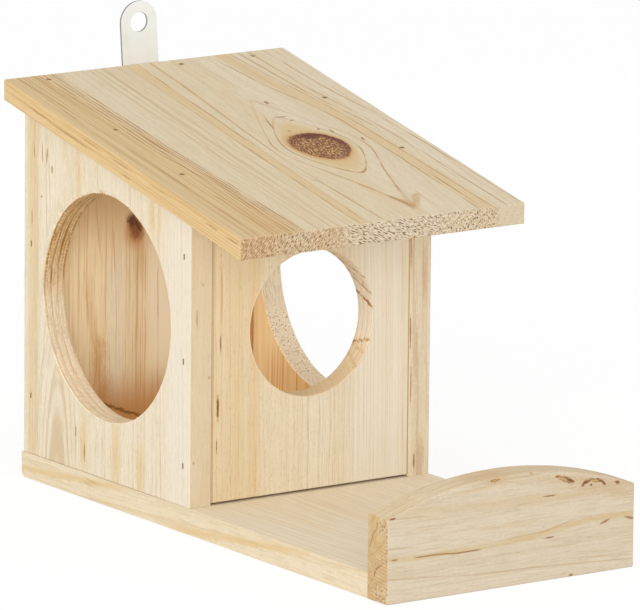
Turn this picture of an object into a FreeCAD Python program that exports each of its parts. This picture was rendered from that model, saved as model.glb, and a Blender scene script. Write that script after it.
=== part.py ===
import FreeCAD, Part
import math
import os

# Squirrel feeder box of raw softwood boards, in millimetres.
# +X is right and +Y is back, seen from the front, and +Z is up.
# The origin is on the ground, at the middle of the box around the whole feeder.

# House
box_width = 120.0
box_depth = 125.0
front_height = 124.5
roof_pitch = 12.0
side_wall_thickness = 10.5
end_wall_thickness = 10.5
end_wall_side_gap = 0.3
front_wall_bottom_gap = 1.0

# Round entrances, with their centres' heights above the floor
side_hole_diameter = 95.0
side_hole_height = 72.5
front_hole_diameter = 61.0
front_hole_height = 71.0

# Roof board, sawn plumb at both ends
roof_thickness = 9.0
roof_side_overhang = 10.5
roof_front_overhang = 51.0
roof_edge_radius = 0.6

# Base board and feeding deck
base_thickness = 11.0
base_side_margin = 0.5
base_rear_margin = 1.0
base_rear_radius = 2.5
deck_depth = 128.0

# Lip board with its arched top
lip_side_margin = 1.0
lip_thickness = 14.0
lip_side_height = 35.0
lip_arch_rise = 11.0
lip_edge_radius = 0.8

# Steel hanger strap on the back
hanger_width = 18.0
hanger_length = 66.0
hanger_thickness = 1.2
hanger_rise = 26.7
hanger_eye_diameter = 8.5
hanger_lean = 3.5
hanger_screw_margin = 8.0
hanger_screw_pitch = 14.0

# Round-head screws of the hanger
screw_shank_diameter = 3.0
screw_head_diameter = 6.0
screw_head_height = 1.8
screw_head_rounding = 1.3
screw_length = 10.0
screw_hole_clearance = 0.3
screw_pocket_clearance = 0.05
screw_tip_room = 0.3

# Flat-sided wire brads, driven a little below the surface
brad_length = 20.0
brad_width = 1.2
brad_thickness = 1.0
brad_head_width = 2.4
brad_head_depth = 0.8
brad_sink = 0.4

# Places of the brads, from the front face, the centre line or the floor
roof_brad_left_places = (15.0, 64.0)
roof_brad_right_places = (14.5, 71.0)
roof_brad_rear_offset = 15.0
roof_brad_rear_inset = 8.5
front_row_low_height = 17.0
front_row_drop_below_roof = 20.0
rear_row_low_height = 25.0
rear_row_high_height = 90.0
base_brad_inset = 30.0

# Places worked out from the sizes
roof_slope = math.tan(math.radians(roof_pitch))
roof_plumb_thickness = roof_thickness / math.cos(math.radians(roof_pitch))
front_reach = deck_depth + lip_thickness
rear_reach = box_depth + max(base_rear_margin, hanger_thickness + screw_head_height)
front_y = (front_reach - rear_reach) / 2.0
rear_y = front_y + box_depth
floor_z = base_thickness
half_width = box_width / 2.0
inner_x = half_width - side_wall_thickness
side_wall_x = half_width - side_wall_thickness / 2.0
front_wall_y = front_y + end_wall_thickness / 2.0
back_wall_y = rear_y - end_wall_thickness / 2.0
hole_y = front_y + box_depth / 2.0
cut_room = 1.0
edge_tolerance = 0.001


def roof_underside(y):
    """Height of the roof's underside, and of the wall tops, at depth y."""
    return floor_z + front_height + roof_slope * (y - front_y)


def roof_top(y):
    """Height of the roof's upper face at depth y."""
    return roof_underside(y) + roof_plumb_thickness


def block(x0, x1, y0, y1, z0, z1):
    """A straight board between six planes."""
    corner = FreeCAD.Vector(x0, y0, z0)
    return Part.makeBox(x1 - x0, y1 - y0, z1 - z0, corner)


def slab_along_x(outline, x0, x1):
    """A board with a side outline of (y, z) corners, running from x0 to x1."""
    corners = [FreeCAD.Vector(x0, y, z) for y, z in outline]
    face = Part.Face(Part.makePolygon(corners + corners[:1]))
    return face.extrude(FreeCAD.Vector(x1 - x0, 0, 0))


def wall(x0, x1, y0, y1, z0):
    """An upright board from z0 up, its top bevelled to the roof's slope."""
    outline = [(y0, z0), (y1, z0), (y1, roof_underside(y1)), (y0, roof_underside(y0))]
    return slab_along_x(outline, x0, x1)


def rod(diameter, length, start, direction):
    """A round rod or drill, from its start along a direction."""
    return Part.makeCylinder(diameter / 2.0, length, start, direction)


def flat_block(width, thickness, top, bottom):
    """A bar centred on the vertical axis, between two heights."""
    return block(-width / 2.0, width / 2.0, -thickness / 2.0, thickness / 2.0, bottom, top)


def brad(head_top):
    """A brad standing point down, with its head's underside at -brad_head_depth."""
    head = flat_block(brad_head_width, brad_thickness, head_top, -brad_head_depth)
    shank = flat_block(brad_width, brad_thickness, -brad_head_depth, -brad_length)
    return head.fuse(shank).removeSplitter()


def placed(shape, position, turns):
    """A copy of a shape, turned about the world's axes in order and then moved."""
    copy = shape.copy()
    for axis, angle in turns:
        copy.rotate(FreeCAD.Vector(0, 0, 0), axis, angle)
    copy.translate(FreeCAD.Vector(*position))
    return copy


x_axis = FreeCAD.Vector(1, 0, 0)
y_axis = FreeCAD.Vector(0, 1, 0)
z_axis = FreeCAD.Vector(0, 0, 1)
down = []
upward = [(x_axis, 180)]
to_the_right = [(z_axis, 90), (y_axis, -90)]
to_the_left = [(z_axis, 90), (y_axis, 90)]


def roof_brad_seats():
    """Plumb brads: a row along the back and two over each side wall."""
    outer_x = half_width - roof_brad_rear_inset
    spots = [(-outer_x, back_wall_y), (roof_brad_rear_offset, back_wall_y), (outer_x, back_wall_y)]
    spots += [(-side_wall_x, front_y + place) for place in roof_brad_left_places]
    spots += [(side_wall_x, front_y + place) for place in roof_brad_right_places]
    return [((x, y, roof_top(y) - brad_sink), down) for x, y in spots]


def side_brad_seats(side):
    """Level brads through one side wall into the ends of the front and back walls."""
    low = floor_z + front_row_low_height
    high = floor_z + front_height - front_row_drop_below_roof
    spots = [(front_wall_y, low), (front_wall_y, (low + high) / 2.0), (front_wall_y, high)]
    spots += [(back_wall_y, floor_z + rear_row_low_height), (back_wall_y, floor_z + rear_row_high_height)]
    turns = to_the_right if side < 0 else to_the_left
    return [((side * (half_width - brad_sink), y, z), turns) for y, z in spots]


def base_brad_seats():
    """Brads from below, two up into each side wall and two into the back wall."""
    spots = []
    for side in (-1, 1):
        spots.append((side * side_wall_x, front_y + base_brad_inset))
        spots.append((side * side_wall_x, rear_y - base_brad_inset))
        spots.append((side * (half_width - base_brad_inset), back_wall_y))
    return [((x, y, brad_sink), upward) for x, y in spots]


def brads(seats):
    """One row or group of brads, each a solid of its own."""
    return Part.makeCompound([placed(brad(0.0), where, turns) for where, turns in seats])


def without_brads(board, seats):
    """A board with the slots that its brads fill and their sunk heads leave open."""
    for where, turns in seats:
        board = board.cut(placed(brad(cut_room), where, turns))
    return board


def base_board():
    """The floor board, from behind the house to the lip, with its back bottom edge rounded off."""
    half = half_width + base_side_margin
    board = block(-half, half, front_y - deck_depth, rear_y + base_rear_margin, 0.0, base_thickness)
    back_bottom = []
    for edge in board.Edges:
        middle = edge.CenterOfMass
        if middle.z < edge_tolerance and middle.y > rear_y:
            back_bottom.append(edge)
    board = board.makeFillet(base_rear_radius, back_bottom)
    return without_brads(board, base_brad_seats())


def side_wall(side):
    """A side wall with its large round entrance."""
    x0 = min(side * half_width, side * inner_x)
    board = wall(x0, x0 + side_wall_thickness, front_y, rear_y, floor_z)
    start = FreeCAD.Vector(x0 - cut_room, hole_y, floor_z + side_hole_height)
    drill_length = side_wall_thickness + 2.0 * cut_room
    board = board.cut(rod(side_hole_diameter, drill_length, start, x_axis))
    return without_brads(board, side_brad_seats(side) + base_brad_seats() + roof_brad_seats())


def end_wall(y0, z0):
    """A wall that stands between the side walls, with a hair's gap at each."""
    half = inner_x - end_wall_side_gap
    board = wall(-half, half, y0, y0 + end_wall_thickness, z0)
    return without_brads(board, side_brad_seats(-1) + side_brad_seats(1))


def front_wall():
    """The front wall with its round entrance, a little clear of the floor."""
    board = end_wall(front_y, floor_z + front_wall_bottom_gap)
    start = FreeCAD.Vector(0, front_y - cut_room, floor_z + front_hole_height)
    drill_length = end_wall_thickness + 2.0 * cut_room
    return board.cut(rod(front_hole_diameter, drill_length, start, y_axis))


def back_wall():
    """The back wall, drilled for the hanger's screws."""
    board = end_wall(rear_y - end_wall_thickness, floor_z)
    board = without_brads(board, base_brad_seats() + roof_brad_seats())
    depth = screw_length - hanger_thickness + screw_tip_room
    pocket = rod(screw_shank_diameter + 2.0 * screw_pocket_clearance, depth + cut_room,
                 FreeCAD.Vector(0, -depth, 0), y_axis)
    for x, z in hanger_screw_places():
        board = board.cut(placed(pocket, (x, rear_y, z), down))
    return board


def roof_board():
    """The single roof board, with eased edges."""
    half = half_width + roof_side_overhang
    eaves_y = front_y - roof_front_overhang
    outline = [(eaves_y, roof_underside(eaves_y)), (rear_y, roof_underside(rear_y)),
               (rear_y, roof_top(rear_y)), (eaves_y, roof_top(eaves_y))]
    board = slab_along_x(outline, -half, half)
    board = board.makeFillet(roof_edge_radius, board.Edges)
    return without_brads(board, roof_brad_seats())


def front_lip():
    """The lip board across the base's front end, its top one flat arc from side to side."""
    half = half_width + lip_side_margin
    back_y = front_y - deck_depth
    left_foot = FreeCAD.Vector(-half, back_y, 0)
    right_foot = FreeCAD.Vector(half, back_y, 0)
    left_shoulder = FreeCAD.Vector(-half, back_y, lip_side_height)
    right_shoulder = FreeCAD.Vector(half, back_y, lip_side_height)
    crown = FreeCAD.Vector(0, back_y, lip_side_height + lip_arch_rise)
    outline = [
        Part.LineSegment(left_foot, right_foot).toShape(),
        Part.LineSegment(right_foot, right_shoulder).toShape(),
        Part.Arc(right_shoulder, crown, left_shoulder).toShape(),
        Part.LineSegment(left_shoulder, left_foot).toShape(),
    ]
    board = Part.Face(Part.Wire(outline)).extrude(FreeCAD.Vector(0, -lip_thickness, 0))
    eased = [edge for edge in board.Edges if edge.CenterOfMass.z > edge_tolerance
             and edge.CenterOfMass.y < back_y - edge_tolerance]
    return board.makeFillet(lip_edge_radius, eased)


def hanger_bottom_z():
    """Height of the strap's lower end before it leans."""
    return roof_top(rear_y) + hanger_rise - hanger_length


def lean_about_lower_screw(x, z):
    """Where a place on the upright strap goes when it leans to the left."""
    pivot_z = hanger_bottom_z() + hanger_screw_margin
    angle = math.radians(hanger_lean)
    height = z - pivot_z
    leaned_x = x * math.cos(angle) - height * math.sin(angle)
    leaned_z = pivot_z + x * math.sin(angle) + height * math.cos(angle)
    return leaned_x, leaned_z


def hanger_screw_places():
    """The two screws' centres on the back, as (x, z)."""
    low = hanger_bottom_z() + hanger_screw_margin
    return [lean_about_lower_screw(0.0, low), lean_about_lower_screw(0.0, low + hanger_screw_pitch)]


def hanger_plate():
    """A round-ended strap with its eye above the roof, leaning slightly as it was fitted."""
    radius = hanger_width / 2.0
    bottom = hanger_bottom_z()
    top = bottom + hanger_length
    strap = block(-radius, radius, rear_y, rear_y + hanger_thickness, bottom + radius, top - radius)
    for end_z in (bottom + radius, top - radius):
        centre = FreeCAD.Vector(0, rear_y, end_z)
        strap = strap.fuse(rod(hanger_width, hanger_thickness, centre, y_axis))
    strap = strap.removeSplitter()
    drill_length = hanger_thickness + 2.0 * cut_room
    eye = FreeCAD.Vector(0, rear_y - cut_room, top - radius)
    strap = strap.cut(rod(hanger_eye_diameter, drill_length, eye, y_axis))
    screw_hole = screw_shank_diameter + 2.0 * screw_hole_clearance
    for step in (0, 1):
        z = bottom + hanger_screw_margin + step * hanger_screw_pitch
        start = FreeCAD.Vector(0, rear_y - cut_room, z)
        strap = strap.cut(rod(screw_hole, drill_length, start, y_axis))
    pivot = FreeCAD.Vector(0, rear_y, bottom + hanger_screw_margin)
    strap.rotate(pivot, y_axis, -hanger_lean)
    return strap


def hanger_screw():
    """A round-head screw pointing forwards, its head's flat at the origin."""
    origin = FreeCAD.Vector(0, 0, 0)
    head = rod(screw_head_diameter, screw_head_height, origin, y_axis)
    rim = [edge for edge in head.Edges if edge.CenterOfMass.y > screw_head_height - edge_tolerance]
    head = head.makeFillet(screw_head_rounding, rim)
    shank = rod(screw_shank_diameter, screw_length, FreeCAD.Vector(0, -screw_length, 0), y_axis)
    return head.fuse(shank).removeSplitter()


def hanger_screws():
    """The two screws that hold the strap to the back wall."""
    head_y = rear_y + hanger_thickness
    screws = [placed(hanger_screw(), (x, head_y, z), down) for x, z in hanger_screw_places()]
    return Part.makeCompound(screws)


def pieces():
    """Every sub-part by name."""
    return {
        "base_board": base_board(),
        "front_lip": front_lip(),
        "left_wall": side_wall(-1),
        "right_wall": side_wall(1),
        "front_wall": front_wall(),
        "back_wall": back_wall(),
        "roof_board": roof_board(),
        "hanger_plate": hanger_plate(),
        "hanger_screws": hanger_screws(),
        "roof_brads": brads(roof_brad_seats()),
        "left_wall_brads": brads(side_brad_seats(-1)),
        "right_wall_brads": brads(side_brad_seats(1)),
        "base_brads": brads(base_brad_seats()),
    }


os.makedirs("parts", exist_ok=True)
for name, shape in pieces().items():
    shape.exportStep(os.path.join("parts", name + ".step"))
    box = shape.BoundBox
    print(name, len(shape.Solids), shape.isValid(), round(shape.Volume, 1),
          [round(v, 2) for v in (box.XMin, box.XMax, box.YMin, box.YMax, box.ZMin, box.ZMax)])
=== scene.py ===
import math

import bmesh
import bpy
from bpy.props import FloatProperty, FloatVectorProperty, PointerProperty
from mathutils import Matrix, Vector, noise


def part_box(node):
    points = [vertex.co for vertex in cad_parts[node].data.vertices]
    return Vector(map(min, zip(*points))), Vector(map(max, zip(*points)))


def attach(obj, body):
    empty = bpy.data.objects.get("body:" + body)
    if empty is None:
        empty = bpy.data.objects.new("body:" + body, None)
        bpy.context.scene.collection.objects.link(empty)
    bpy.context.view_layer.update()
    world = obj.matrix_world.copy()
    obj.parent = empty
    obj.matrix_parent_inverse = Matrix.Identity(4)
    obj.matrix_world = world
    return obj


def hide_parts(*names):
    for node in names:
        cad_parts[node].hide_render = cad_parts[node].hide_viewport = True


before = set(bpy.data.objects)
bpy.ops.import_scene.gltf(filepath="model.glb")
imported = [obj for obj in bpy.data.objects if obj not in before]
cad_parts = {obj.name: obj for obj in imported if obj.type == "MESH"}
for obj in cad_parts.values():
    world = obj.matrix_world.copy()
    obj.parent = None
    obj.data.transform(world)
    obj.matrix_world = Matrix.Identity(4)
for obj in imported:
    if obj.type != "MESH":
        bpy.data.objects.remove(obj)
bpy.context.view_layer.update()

bl_info = {
    "name": "Squirrel Feeder Box",
    "version": (1, 0, 0),
    "blender": (4, 5, 0),
    "location": "3D View > Sidebar > Feeder",
    "description": "Dresses a nailed softwood squirrel feeder: its boards, brads, hanger and stage",
    "category": "Add Mesh",
}

MM = 0.001
GROUND = 0.0
SAME_POINT = 0.002 * MM         # vertices of a piece nearer than this are one
SAME_CAD_POINT = 0.001 * MM


def srgb(red, green, blue):
    """A colour as a paint card gives it, 0 to 255, turned into light."""
    return tuple(c / 255 / 12.92 if c < 10.3 else ((c / 255 + 0.055) / 1.055) ** 2.4
                 for c in (red, green, blue))


# Sizes and colours that a user would change

def length(label, description, millimetres):
    """A length setting, with its usual value."""
    return FloatProperty(name=label, description=description, default=millimetres * MM,
                         unit="LENGTH")


def colour(label, description, rgb):
    """A colour setting, with its usual value."""
    return FloatVectorProperty(name=label, description=description, default=rgb,
                               subtype="COLOR", size=3, min=0.0, max=1.0)


class FeederSizes(bpy.types.PropertyGroup):
    side_hole_diameter: length(
        "Side entrance", "Diameter of the round entrance in each side wall", 95)
    side_hole_height: length(
        "Side entrance height", "Height of its centre above the floor board", 72.5)
    front_hole_diameter: length(
        "Front entrance", "Diameter of the round entrance in the front wall", 61)
    front_hole_height: length(
        "Front entrance height", "Height of its centre above the floor board", 71)
    roof_pitch: FloatProperty(
        name="Roof pitch", description="Slope of the roof board",
        default=math.radians(12), subtype="ANGLE")
    lip_shoulder: length("Lip shoulder", "Height of the lip board at its two ends", 35)
    wall_ease: length("Wall edges", "Rounding of the walls' and the base's edges", 0.3)
    roof_ease: length("Roof edges", "Rounding of the roof board's edges", 0.55)
    lip_ease: length("Lip edges", "Rounding of the lip board's edges", 0.7)
    base_rear_round: length(
        "Base rear edge", "Rounding of the base board's back bottom edge", 2.5)
    torn_depth: length(
        "Torn fibres", "How far the saw tore the rims of the side entrances", 2.2)
    groove_depth: length(
        "Saw grooves", "Depth of the grooves that the saw left round the side entrances", 0.26)
    wear: length("Edge wear", "Unevenness of the boards' edges", 0.10)
    brad_head_width: length("Brad head width", "Long side of a brad's head", 2.4)
    brad_head_depth: length("Brad head depth", "Height of a brad's head", 0.8)
    brad_thickness: length("Brad thickness", "Short side of a brad's head and shank", 1.0)
    brad_width: length("Brad shank width", "Long side of a brad's shank", 1.2)
    screw_shank: length("Screw shank", "Diameter of the hanger screws' shanks", 3.0)
    screw_pocket: length(
        "Screw pocket", "Diameter of the screws' pockets in the back wall", 3.1)


class WoodColours(bpy.types.PropertyGroup):
    pale: colour("Pale wood", "Fresh sapwood between the growth lines", srgb(246, 234, 209))
    cream: colour("Cream wood", "The palest wood, without growth lines", srgb(250, 241, 224))
    # Honey is also laid on the inner faces and entrance walls as painted light: lighter, warmer
    # wood that stands in for the warm bounce light inside the box.
    honey: colour("Honey wood", "Warm clean wood on the inside", srgb(253, 229, 184))
    ochre: colour("Ochre wood", "Warmer bands along the grain", srgb(232, 203, 154))
    gold: colour("Golden wood", "Yellow bands with more resin", srgb(234, 199, 137))
    amber: colour("Amber wood", "Orange wood beside knots", srgb(216, 166, 98))
    line: colour("Growth line", "Late wood of each year", srgb(206, 168, 110))
    seam: colour("Dark seam", "The darkest growth lines", srgb(160, 116, 62))
    rust: colour("Reddish wood", "Reddish bands of heartwood", srgb(208, 140, 80))
    bark: colour("Brown marks", "Streaks, galleries and small knots", srgb(124, 72, 28))
    knot: colour("Knot", "Brown wood of a knot", srgb(180, 126, 76))
    heart: colour("Knot heart", "Dark rings and specks in a knot", srgb(112, 56, 26))
    ember: colour("Knot edge", "Dark red edge of a knot", srgb(106, 44, 22))
    end: colour("End grain", "Sawn ends of the boards", srgb(226, 200, 160))
    pore: colour("Open pores", "Dark specks in the end grain", srgb(96, 62, 40))


class StageSettings(bpy.types.PropertyGroup):
    floor: colour("Floor", "Colour of the floor and backdrop", (0.92, 0.92, 0.92))
    ambient: FloatProperty(name="Ambient", description="Level of the light from all around",
                           default=0.755)
    key: FloatProperty(name="Key light", description="Power of the large soft light at the left",
                       default=27.3, unit="POWER")
    fill: FloatProperty(name="Fill light", description="Power of the soft light at the right",
                        default=2.0, unit="POWER")


def sizes():
    """The sizes set in the panel."""
    return bpy.context.scene.feeder_sizes


def colours():
    """The wood's colours set in the panel."""
    return bpy.context.scene.feeder_colours


# Shapes

def unevenness(point, size, seed):
    """Smooth noise from -1 to 1, with bumps about size metres wide."""
    return noise.noise(Vector(point) / size + Vector((seed, seed * 1.7, seed * 2.3)))


def rise(value, low, high):
    """A smooth step from 0 at low to 1 at high."""
    share = min(max((value - low) / (high - low), 0.0), 1.0)
    return share * share * (3.0 - 2.0 * share)


def angle_window(angle, middle, half_width, fade):
    """1 near a middle angle, falling to 0 outside half_width, all in degrees."""
    away = abs((math.degrees(angle) - middle + 180.0) % 360.0 - 180.0)
    return 1.0 - rise(away, half_width, half_width + fade)


def new_piece(name, bm):
    """A mesh as an object of its own, at the origin."""
    mesh = bpy.data.meshes.new(name)
    bm.to_mesh(mesh)
    bm.free()
    piece = bpy.data.objects.new(name, mesh)
    bpy.context.scene.collection.objects.link(piece)
    return piece


def settle(piece):
    """Works out a piece's modifiers and leaves a plain mesh."""
    graph = bpy.context.evaluated_depsgraph_get()
    finished = bpy.data.meshes.new_from_object(piece.evaluated_get(graph))
    rough = piece.data
    piece.modifiers.clear()
    piece.data = finished
    finished.name = piece.name
    bpy.data.meshes.remove(rough)
    return piece


def outline_reach(corners, centre, angle, inset):
    """Distance from a centre to a convex anticlockwise outline, moved in by inset, along a ray."""
    across, up = math.cos(angle), math.sin(angle)
    nearest = math.inf
    for (u0, v0), (u1, v1) in zip(corners, corners[1:] + corners[:1]):
        length = math.hypot(u1 - u0, v1 - v0)
        out_u, out_v = (v1 - v0) / length, (u0 - u1) / length
        facing = out_u * across + out_v * up
        if facing > 1e-9:
            room = out_u * (u0 - centre[0]) + out_v * (v0 - centre[1]) - inset
            nearest = min(nearest, room / facing)
    return nearest


def ray_angles(corners, centre, count):
    """Even angles round a hole, with the nearest one moved to each corner of the outline."""
    angles = [math.tau * i / count for i in range(count)]
    for u, v in corners:
        corner = math.atan2(v - centre[1], u - centre[0]) % math.tau
        angles[round(corner / math.tau * count) % count] = corner
    return angles


def quarter_round(ease, steps):
    """(setback, depth) pairs round an eased edge, from the face to the side."""
    turns = [math.pi / 2 * step / steps for step in range(steps + 1)]
    return [(ease * (1 - math.sin(turn)), ease * (1 - math.cos(turn))) for turn in turns]


def seen_from_side(u, v, depth):
    """A point of an outline in Y and Z, at a depth along X."""
    return (depth, u, v)


def seen_from_front(u, v, depth):
    """A point of an outline in X and Z, at a depth along Y."""
    return (u, depth, v)


def holed_board(name, near, far, centre, radius, thickness, place, rim, chip, count):
    """An upright board with a round entrance, as rings of faces from the hole out to the edges.
    near and far are the outlines of its two faces. rim(angle, depth) is how much the saw took
    off the hole's wall, and chip(angle, away) how deep the outer face is torn beside the rim."""
    ease = sizes().wall_ease
    rounding = quarter_round(ease, 2)
    ring_steps = [0.0, 0.35 * MM, 0.8 * MM, 1.5 * MM, 3.0 * MM, 6.0 * MM, 11.0 * MM]
    torn_width = 4 * MM
    rows_down_the_hole = 14
    bm = bmesh.new()
    rings = []
    for angle in ray_angles(near, centre, count):
        def reach(inset, depth):
            share = depth / thickness
            return ((1 - share) * outline_reach(near, centre, angle, inset)
                    + share * outline_reach(far, centre, angle, inset))
        section = []
        torn = rim(angle, 0.0)
        for step in ring_steps:
            fade = 1 - rise(step, 0.0, torn_width)
            section.append((radius + ease + torn * fade + step, chip(angle, step)))
        for setback, depth in rounding:
            section.append((reach(setback, depth), depth))
        for setback, depth in reversed(rounding):
            section.append((reach(setback, thickness - depth), thickness - depth))
        for step in reversed(ring_steps):
            fade = 1 - rise(step, 0.0, torn_width)
            section.append((radius + ease + rim(angle, thickness) * fade + step, thickness))
        for row in range(rows_down_the_hole + 1):
            depth = thickness - ease - (thickness - 2 * ease) * row / rows_down_the_hole
            section.append((radius + rim(angle, depth), depth))
        ring = []
        for distance, depth in section:
            u = centre[0] + distance * math.cos(angle)
            v = centre[1] + distance * math.sin(angle)
            ring.append(bm.verts.new(place(u, v, depth)))
        rings.append(ring)
    for ring, following in zip(rings, rings[1:] + rings[:1]):
        for j in range(len(ring)):
            k = (j + 1) % len(ring)
            bm.faces.new((ring[j], ring[k], following[k], following[j]))
    bmesh.ops.remove_doubles(bm, verts=bm.verts, dist=SAME_POINT)
    bmesh.ops.recalc_face_normals(bm, faces=bm.faces)
    return new_piece(name, bm)


def sharp_edges(bm, least_degrees):
    """The edges where two faces meet at more than an angle."""
    return [edge for edge in bm.edges
            if len(edge.link_faces) == 2 and edge.calc_face_angle() > math.radians(least_degrees)]


def planed_board(name, outline, place, near, far, ease, grain, spacing, rounds=()):
    """A solid board: an outline of (u, v) corners between two depths, with eased and slightly
    uneven edges. rounds are (test, radius) pairs for edges with a rounding of their own."""
    bm = bmesh.new()
    ends = [[bm.verts.new(place(u, v, depth)) for u, v in outline] for depth in (near, far)]
    for end in ends:
        bm.faces.new(end)
    for i in range(len(outline)):
        k = (i + 1) % len(outline)
        bm.faces.new((ends[0][i], ends[0][k], ends[1][k], ends[1][i]))
    bmesh.ops.recalc_face_normals(bm, faces=bm.faces)
    for chosen, radius in rounds:
        edges = [edge for edge in sharp_edges(bm, 30)
                 if chosen(sum((v.co for v in edge.verts), Vector()) / 2)]
        bmesh.ops.bevel(bm, geom=edges, offset=radius, segments=8, profile=0.5, affect="EDGES")
    bmesh.ops.bevel(bm, geom=sharp_edges(bm, 24), offset=ease, segments=3, profile=0.5,
                    affect="EDGES", clamp_overlap=True)
    direction = Vector(grain)
    spots = [direction.dot(vert.co) for vert in bm.verts]
    cut = min(spots) + spacing
    while cut < max(spots) - 0.5 * spacing:
        bmesh.ops.bisect_plane(bm, geom=bm.verts[:] + bm.edges[:] + bm.faces[:],
                               plane_co=direction * cut, plane_no=direction)
        cut += spacing
    wear_edges(bm, len(name))
    return new_piece(name, bm)


def wear_edges(bm, seed):
    """Moves the vertices a hair inwards, unevenly along the edges."""
    depth = sizes().wear
    bm.normal_update()
    moves = []
    for vert in bm.verts:
        coarse, fine = unevenness(vert.co, 7 * MM, seed), unevenness(vert.co, 2 * MM, seed + 3)
        rough = 0.5 + 0.5 * coarse + 0.35 * fine
        moves.append(-vert.normal * depth * min(max(rough, 0.0), 1.0))
    for vert, move in zip(bm.verts, moves):
        vert.co += move


# Fasteners' places, read from the frame

class Seat:
    """Where one brad or screw sits: the middle of its head's face, and the way it was driven."""

    def __init__(self, corner_low, corner_high, drive):
        size = corner_high - corner_low
        self.drive = Vector(drive)
        middle = (corner_low + corner_high) / 2
        self.length = abs(size.dot(self.drive))
        self.head = middle - self.drive * self.length / 2
        self.low, self.high = corner_low, corner_high
        sides = [axis for axis in (Vector((1, 0, 0)), Vector((0, 1, 0)), Vector((0, 0, 1)))
                 if abs(axis.dot(self.drive)) < 0.5]
        self.long_side = max(sides, key=lambda axis: abs(size.dot(axis)))
        if abs(self.drive.x) > 0.5:
            self.long_side = Vector((0, 0, 1))  # upright in the side walls, along the grain

    def turn(self):
        """The rotation that takes Z to the way out and X to the head's long side."""
        out = -self.drive
        third = out.cross(self.long_side)
        return Matrix((self.long_side, third, out)).transposed()


def seats_in(node, drive):
    """One seat for each separate solid of a node."""
    bm = bmesh.new()
    bm.from_mesh(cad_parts[node].data)
    bmesh.ops.remove_doubles(bm, verts=bm.verts, dist=SAME_CAD_POINT)
    left = set(bm.verts)
    seats = []
    while left:
        island, edge_of_search = set(), [left.pop()]
        while edge_of_search:
            vert = edge_of_search.pop()
            island.add(vert)
            for link in vert.link_edges:
                other = link.other_vert(vert)
                if other in left:
                    left.remove(other)
                    edge_of_search.append(other)
        low = Vector([min(v.co[i] for v in island) for i in range(3)])
        high = Vector([max(v.co[i] for v in island) for i in range(3)])
        seats.append(Seat(low, high, drive))
    bm.free()
    return sorted(seats, key=lambda seat: tuple(round(c, 5) for c in seat.head))


BRAD_NODES = {
    "roof_brads": (0, 0, -1),
    "left_wall_brads": (1, 0, 0),
    "right_wall_brads": (-1, 0, 0),
    "base_brads": (0, 0, 1),
}
brad_seats = {node: seats_in(node, drive) for node, drive in BRAD_NODES.items()}
screw_seats = seats_in("hanger_screws", (0, -1, 0))


def brad_slot(bm, seat):
    """The slot that a brad's head and shank cut, open at the surface."""
    look = sizes()
    above = 2 * MM
    half_head, half_shank = look.brad_head_width / 2, look.brad_width / 2
    right = [(half_head, above), (half_head, -look.brad_head_depth),
             (half_shank, -look.brad_head_depth), (half_shank, -seat.length)]
    outline = [(-half_head, above)] + right + [(-u, w) for u, w in reversed(right[1:])]
    turn = seat.turn()
    sides = []
    for side in (-1, 1):
        offset = side * look.brad_thickness / 2
        sides.append([bm.verts.new(seat.head + turn @ Vector((u, offset, w)))
                      for u, w in outline])
    bm.faces.new(sides[0])
    bm.faces.new(sides[1])
    for i in range(len(outline)):
        k = (i + 1) % len(outline)
        bm.faces.new((sides[0][i], sides[0][k], sides[1][k], sides[1][i]))


def screw_slot(bm, seat):
    """The round pocket of one hanger screw, which starts 1 mm below its head."""
    shank = seat.drive * (seat.length / 2 + 1 * MM)
    place = Matrix.Translation(seat.head + shank) @ seat.turn().to_4x4()
    radius = sizes().screw_pocket / 2
    bmesh.ops.create_cone(bm, cap_ends=True, segments=32, radius1=radius, radius2=radius,
                          depth=seat.length, matrix=place)


def overlaps(piece, seat):
    """Whether a fastener reaches into a piece's box."""
    low = [min(v.co[i] for v in piece.data.vertices) for i in range(3)]
    high = [max(v.co[i] for v in piece.data.vertices) for i in range(3)]
    return all(low[i] < seat.high[i] and high[i] > seat.low[i] for i in range(3))


def cut_slots(piece, screws=False):
    """Cuts every slot that a brad or screw makes in a board."""
    bm = bmesh.new()
    for seats in brad_seats.values():
        for seat in seats:
            if overlaps(piece, seat):
                brad_slot(bm, seat)
    if screws:
        for seat in screw_seats:
            screw_slot(bm, seat)
    if not bm.verts:
        bm.free()
        return
    bmesh.ops.recalc_face_normals(bm, faces=bm.faces)
    cutter = new_piece(piece.name + "_slots", bm)
    cut = piece.modifiers.new("slots", "BOOLEAN")
    cut.operation = "DIFFERENCE"
    cut.solver = "EXACT"
    cut.object = cutter
    bpy.context.view_layer.update()
    settle(piece)
    bpy.data.meshes.remove(cutter.data)


def dress(piece, node, slot, finish):
    """Gives a piece its finish and its place on the feeder."""
    piece.data.materials.clear()
    piece.data.materials.append(finish)
    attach(piece, "root")
    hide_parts(node)


# Node recipes

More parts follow.
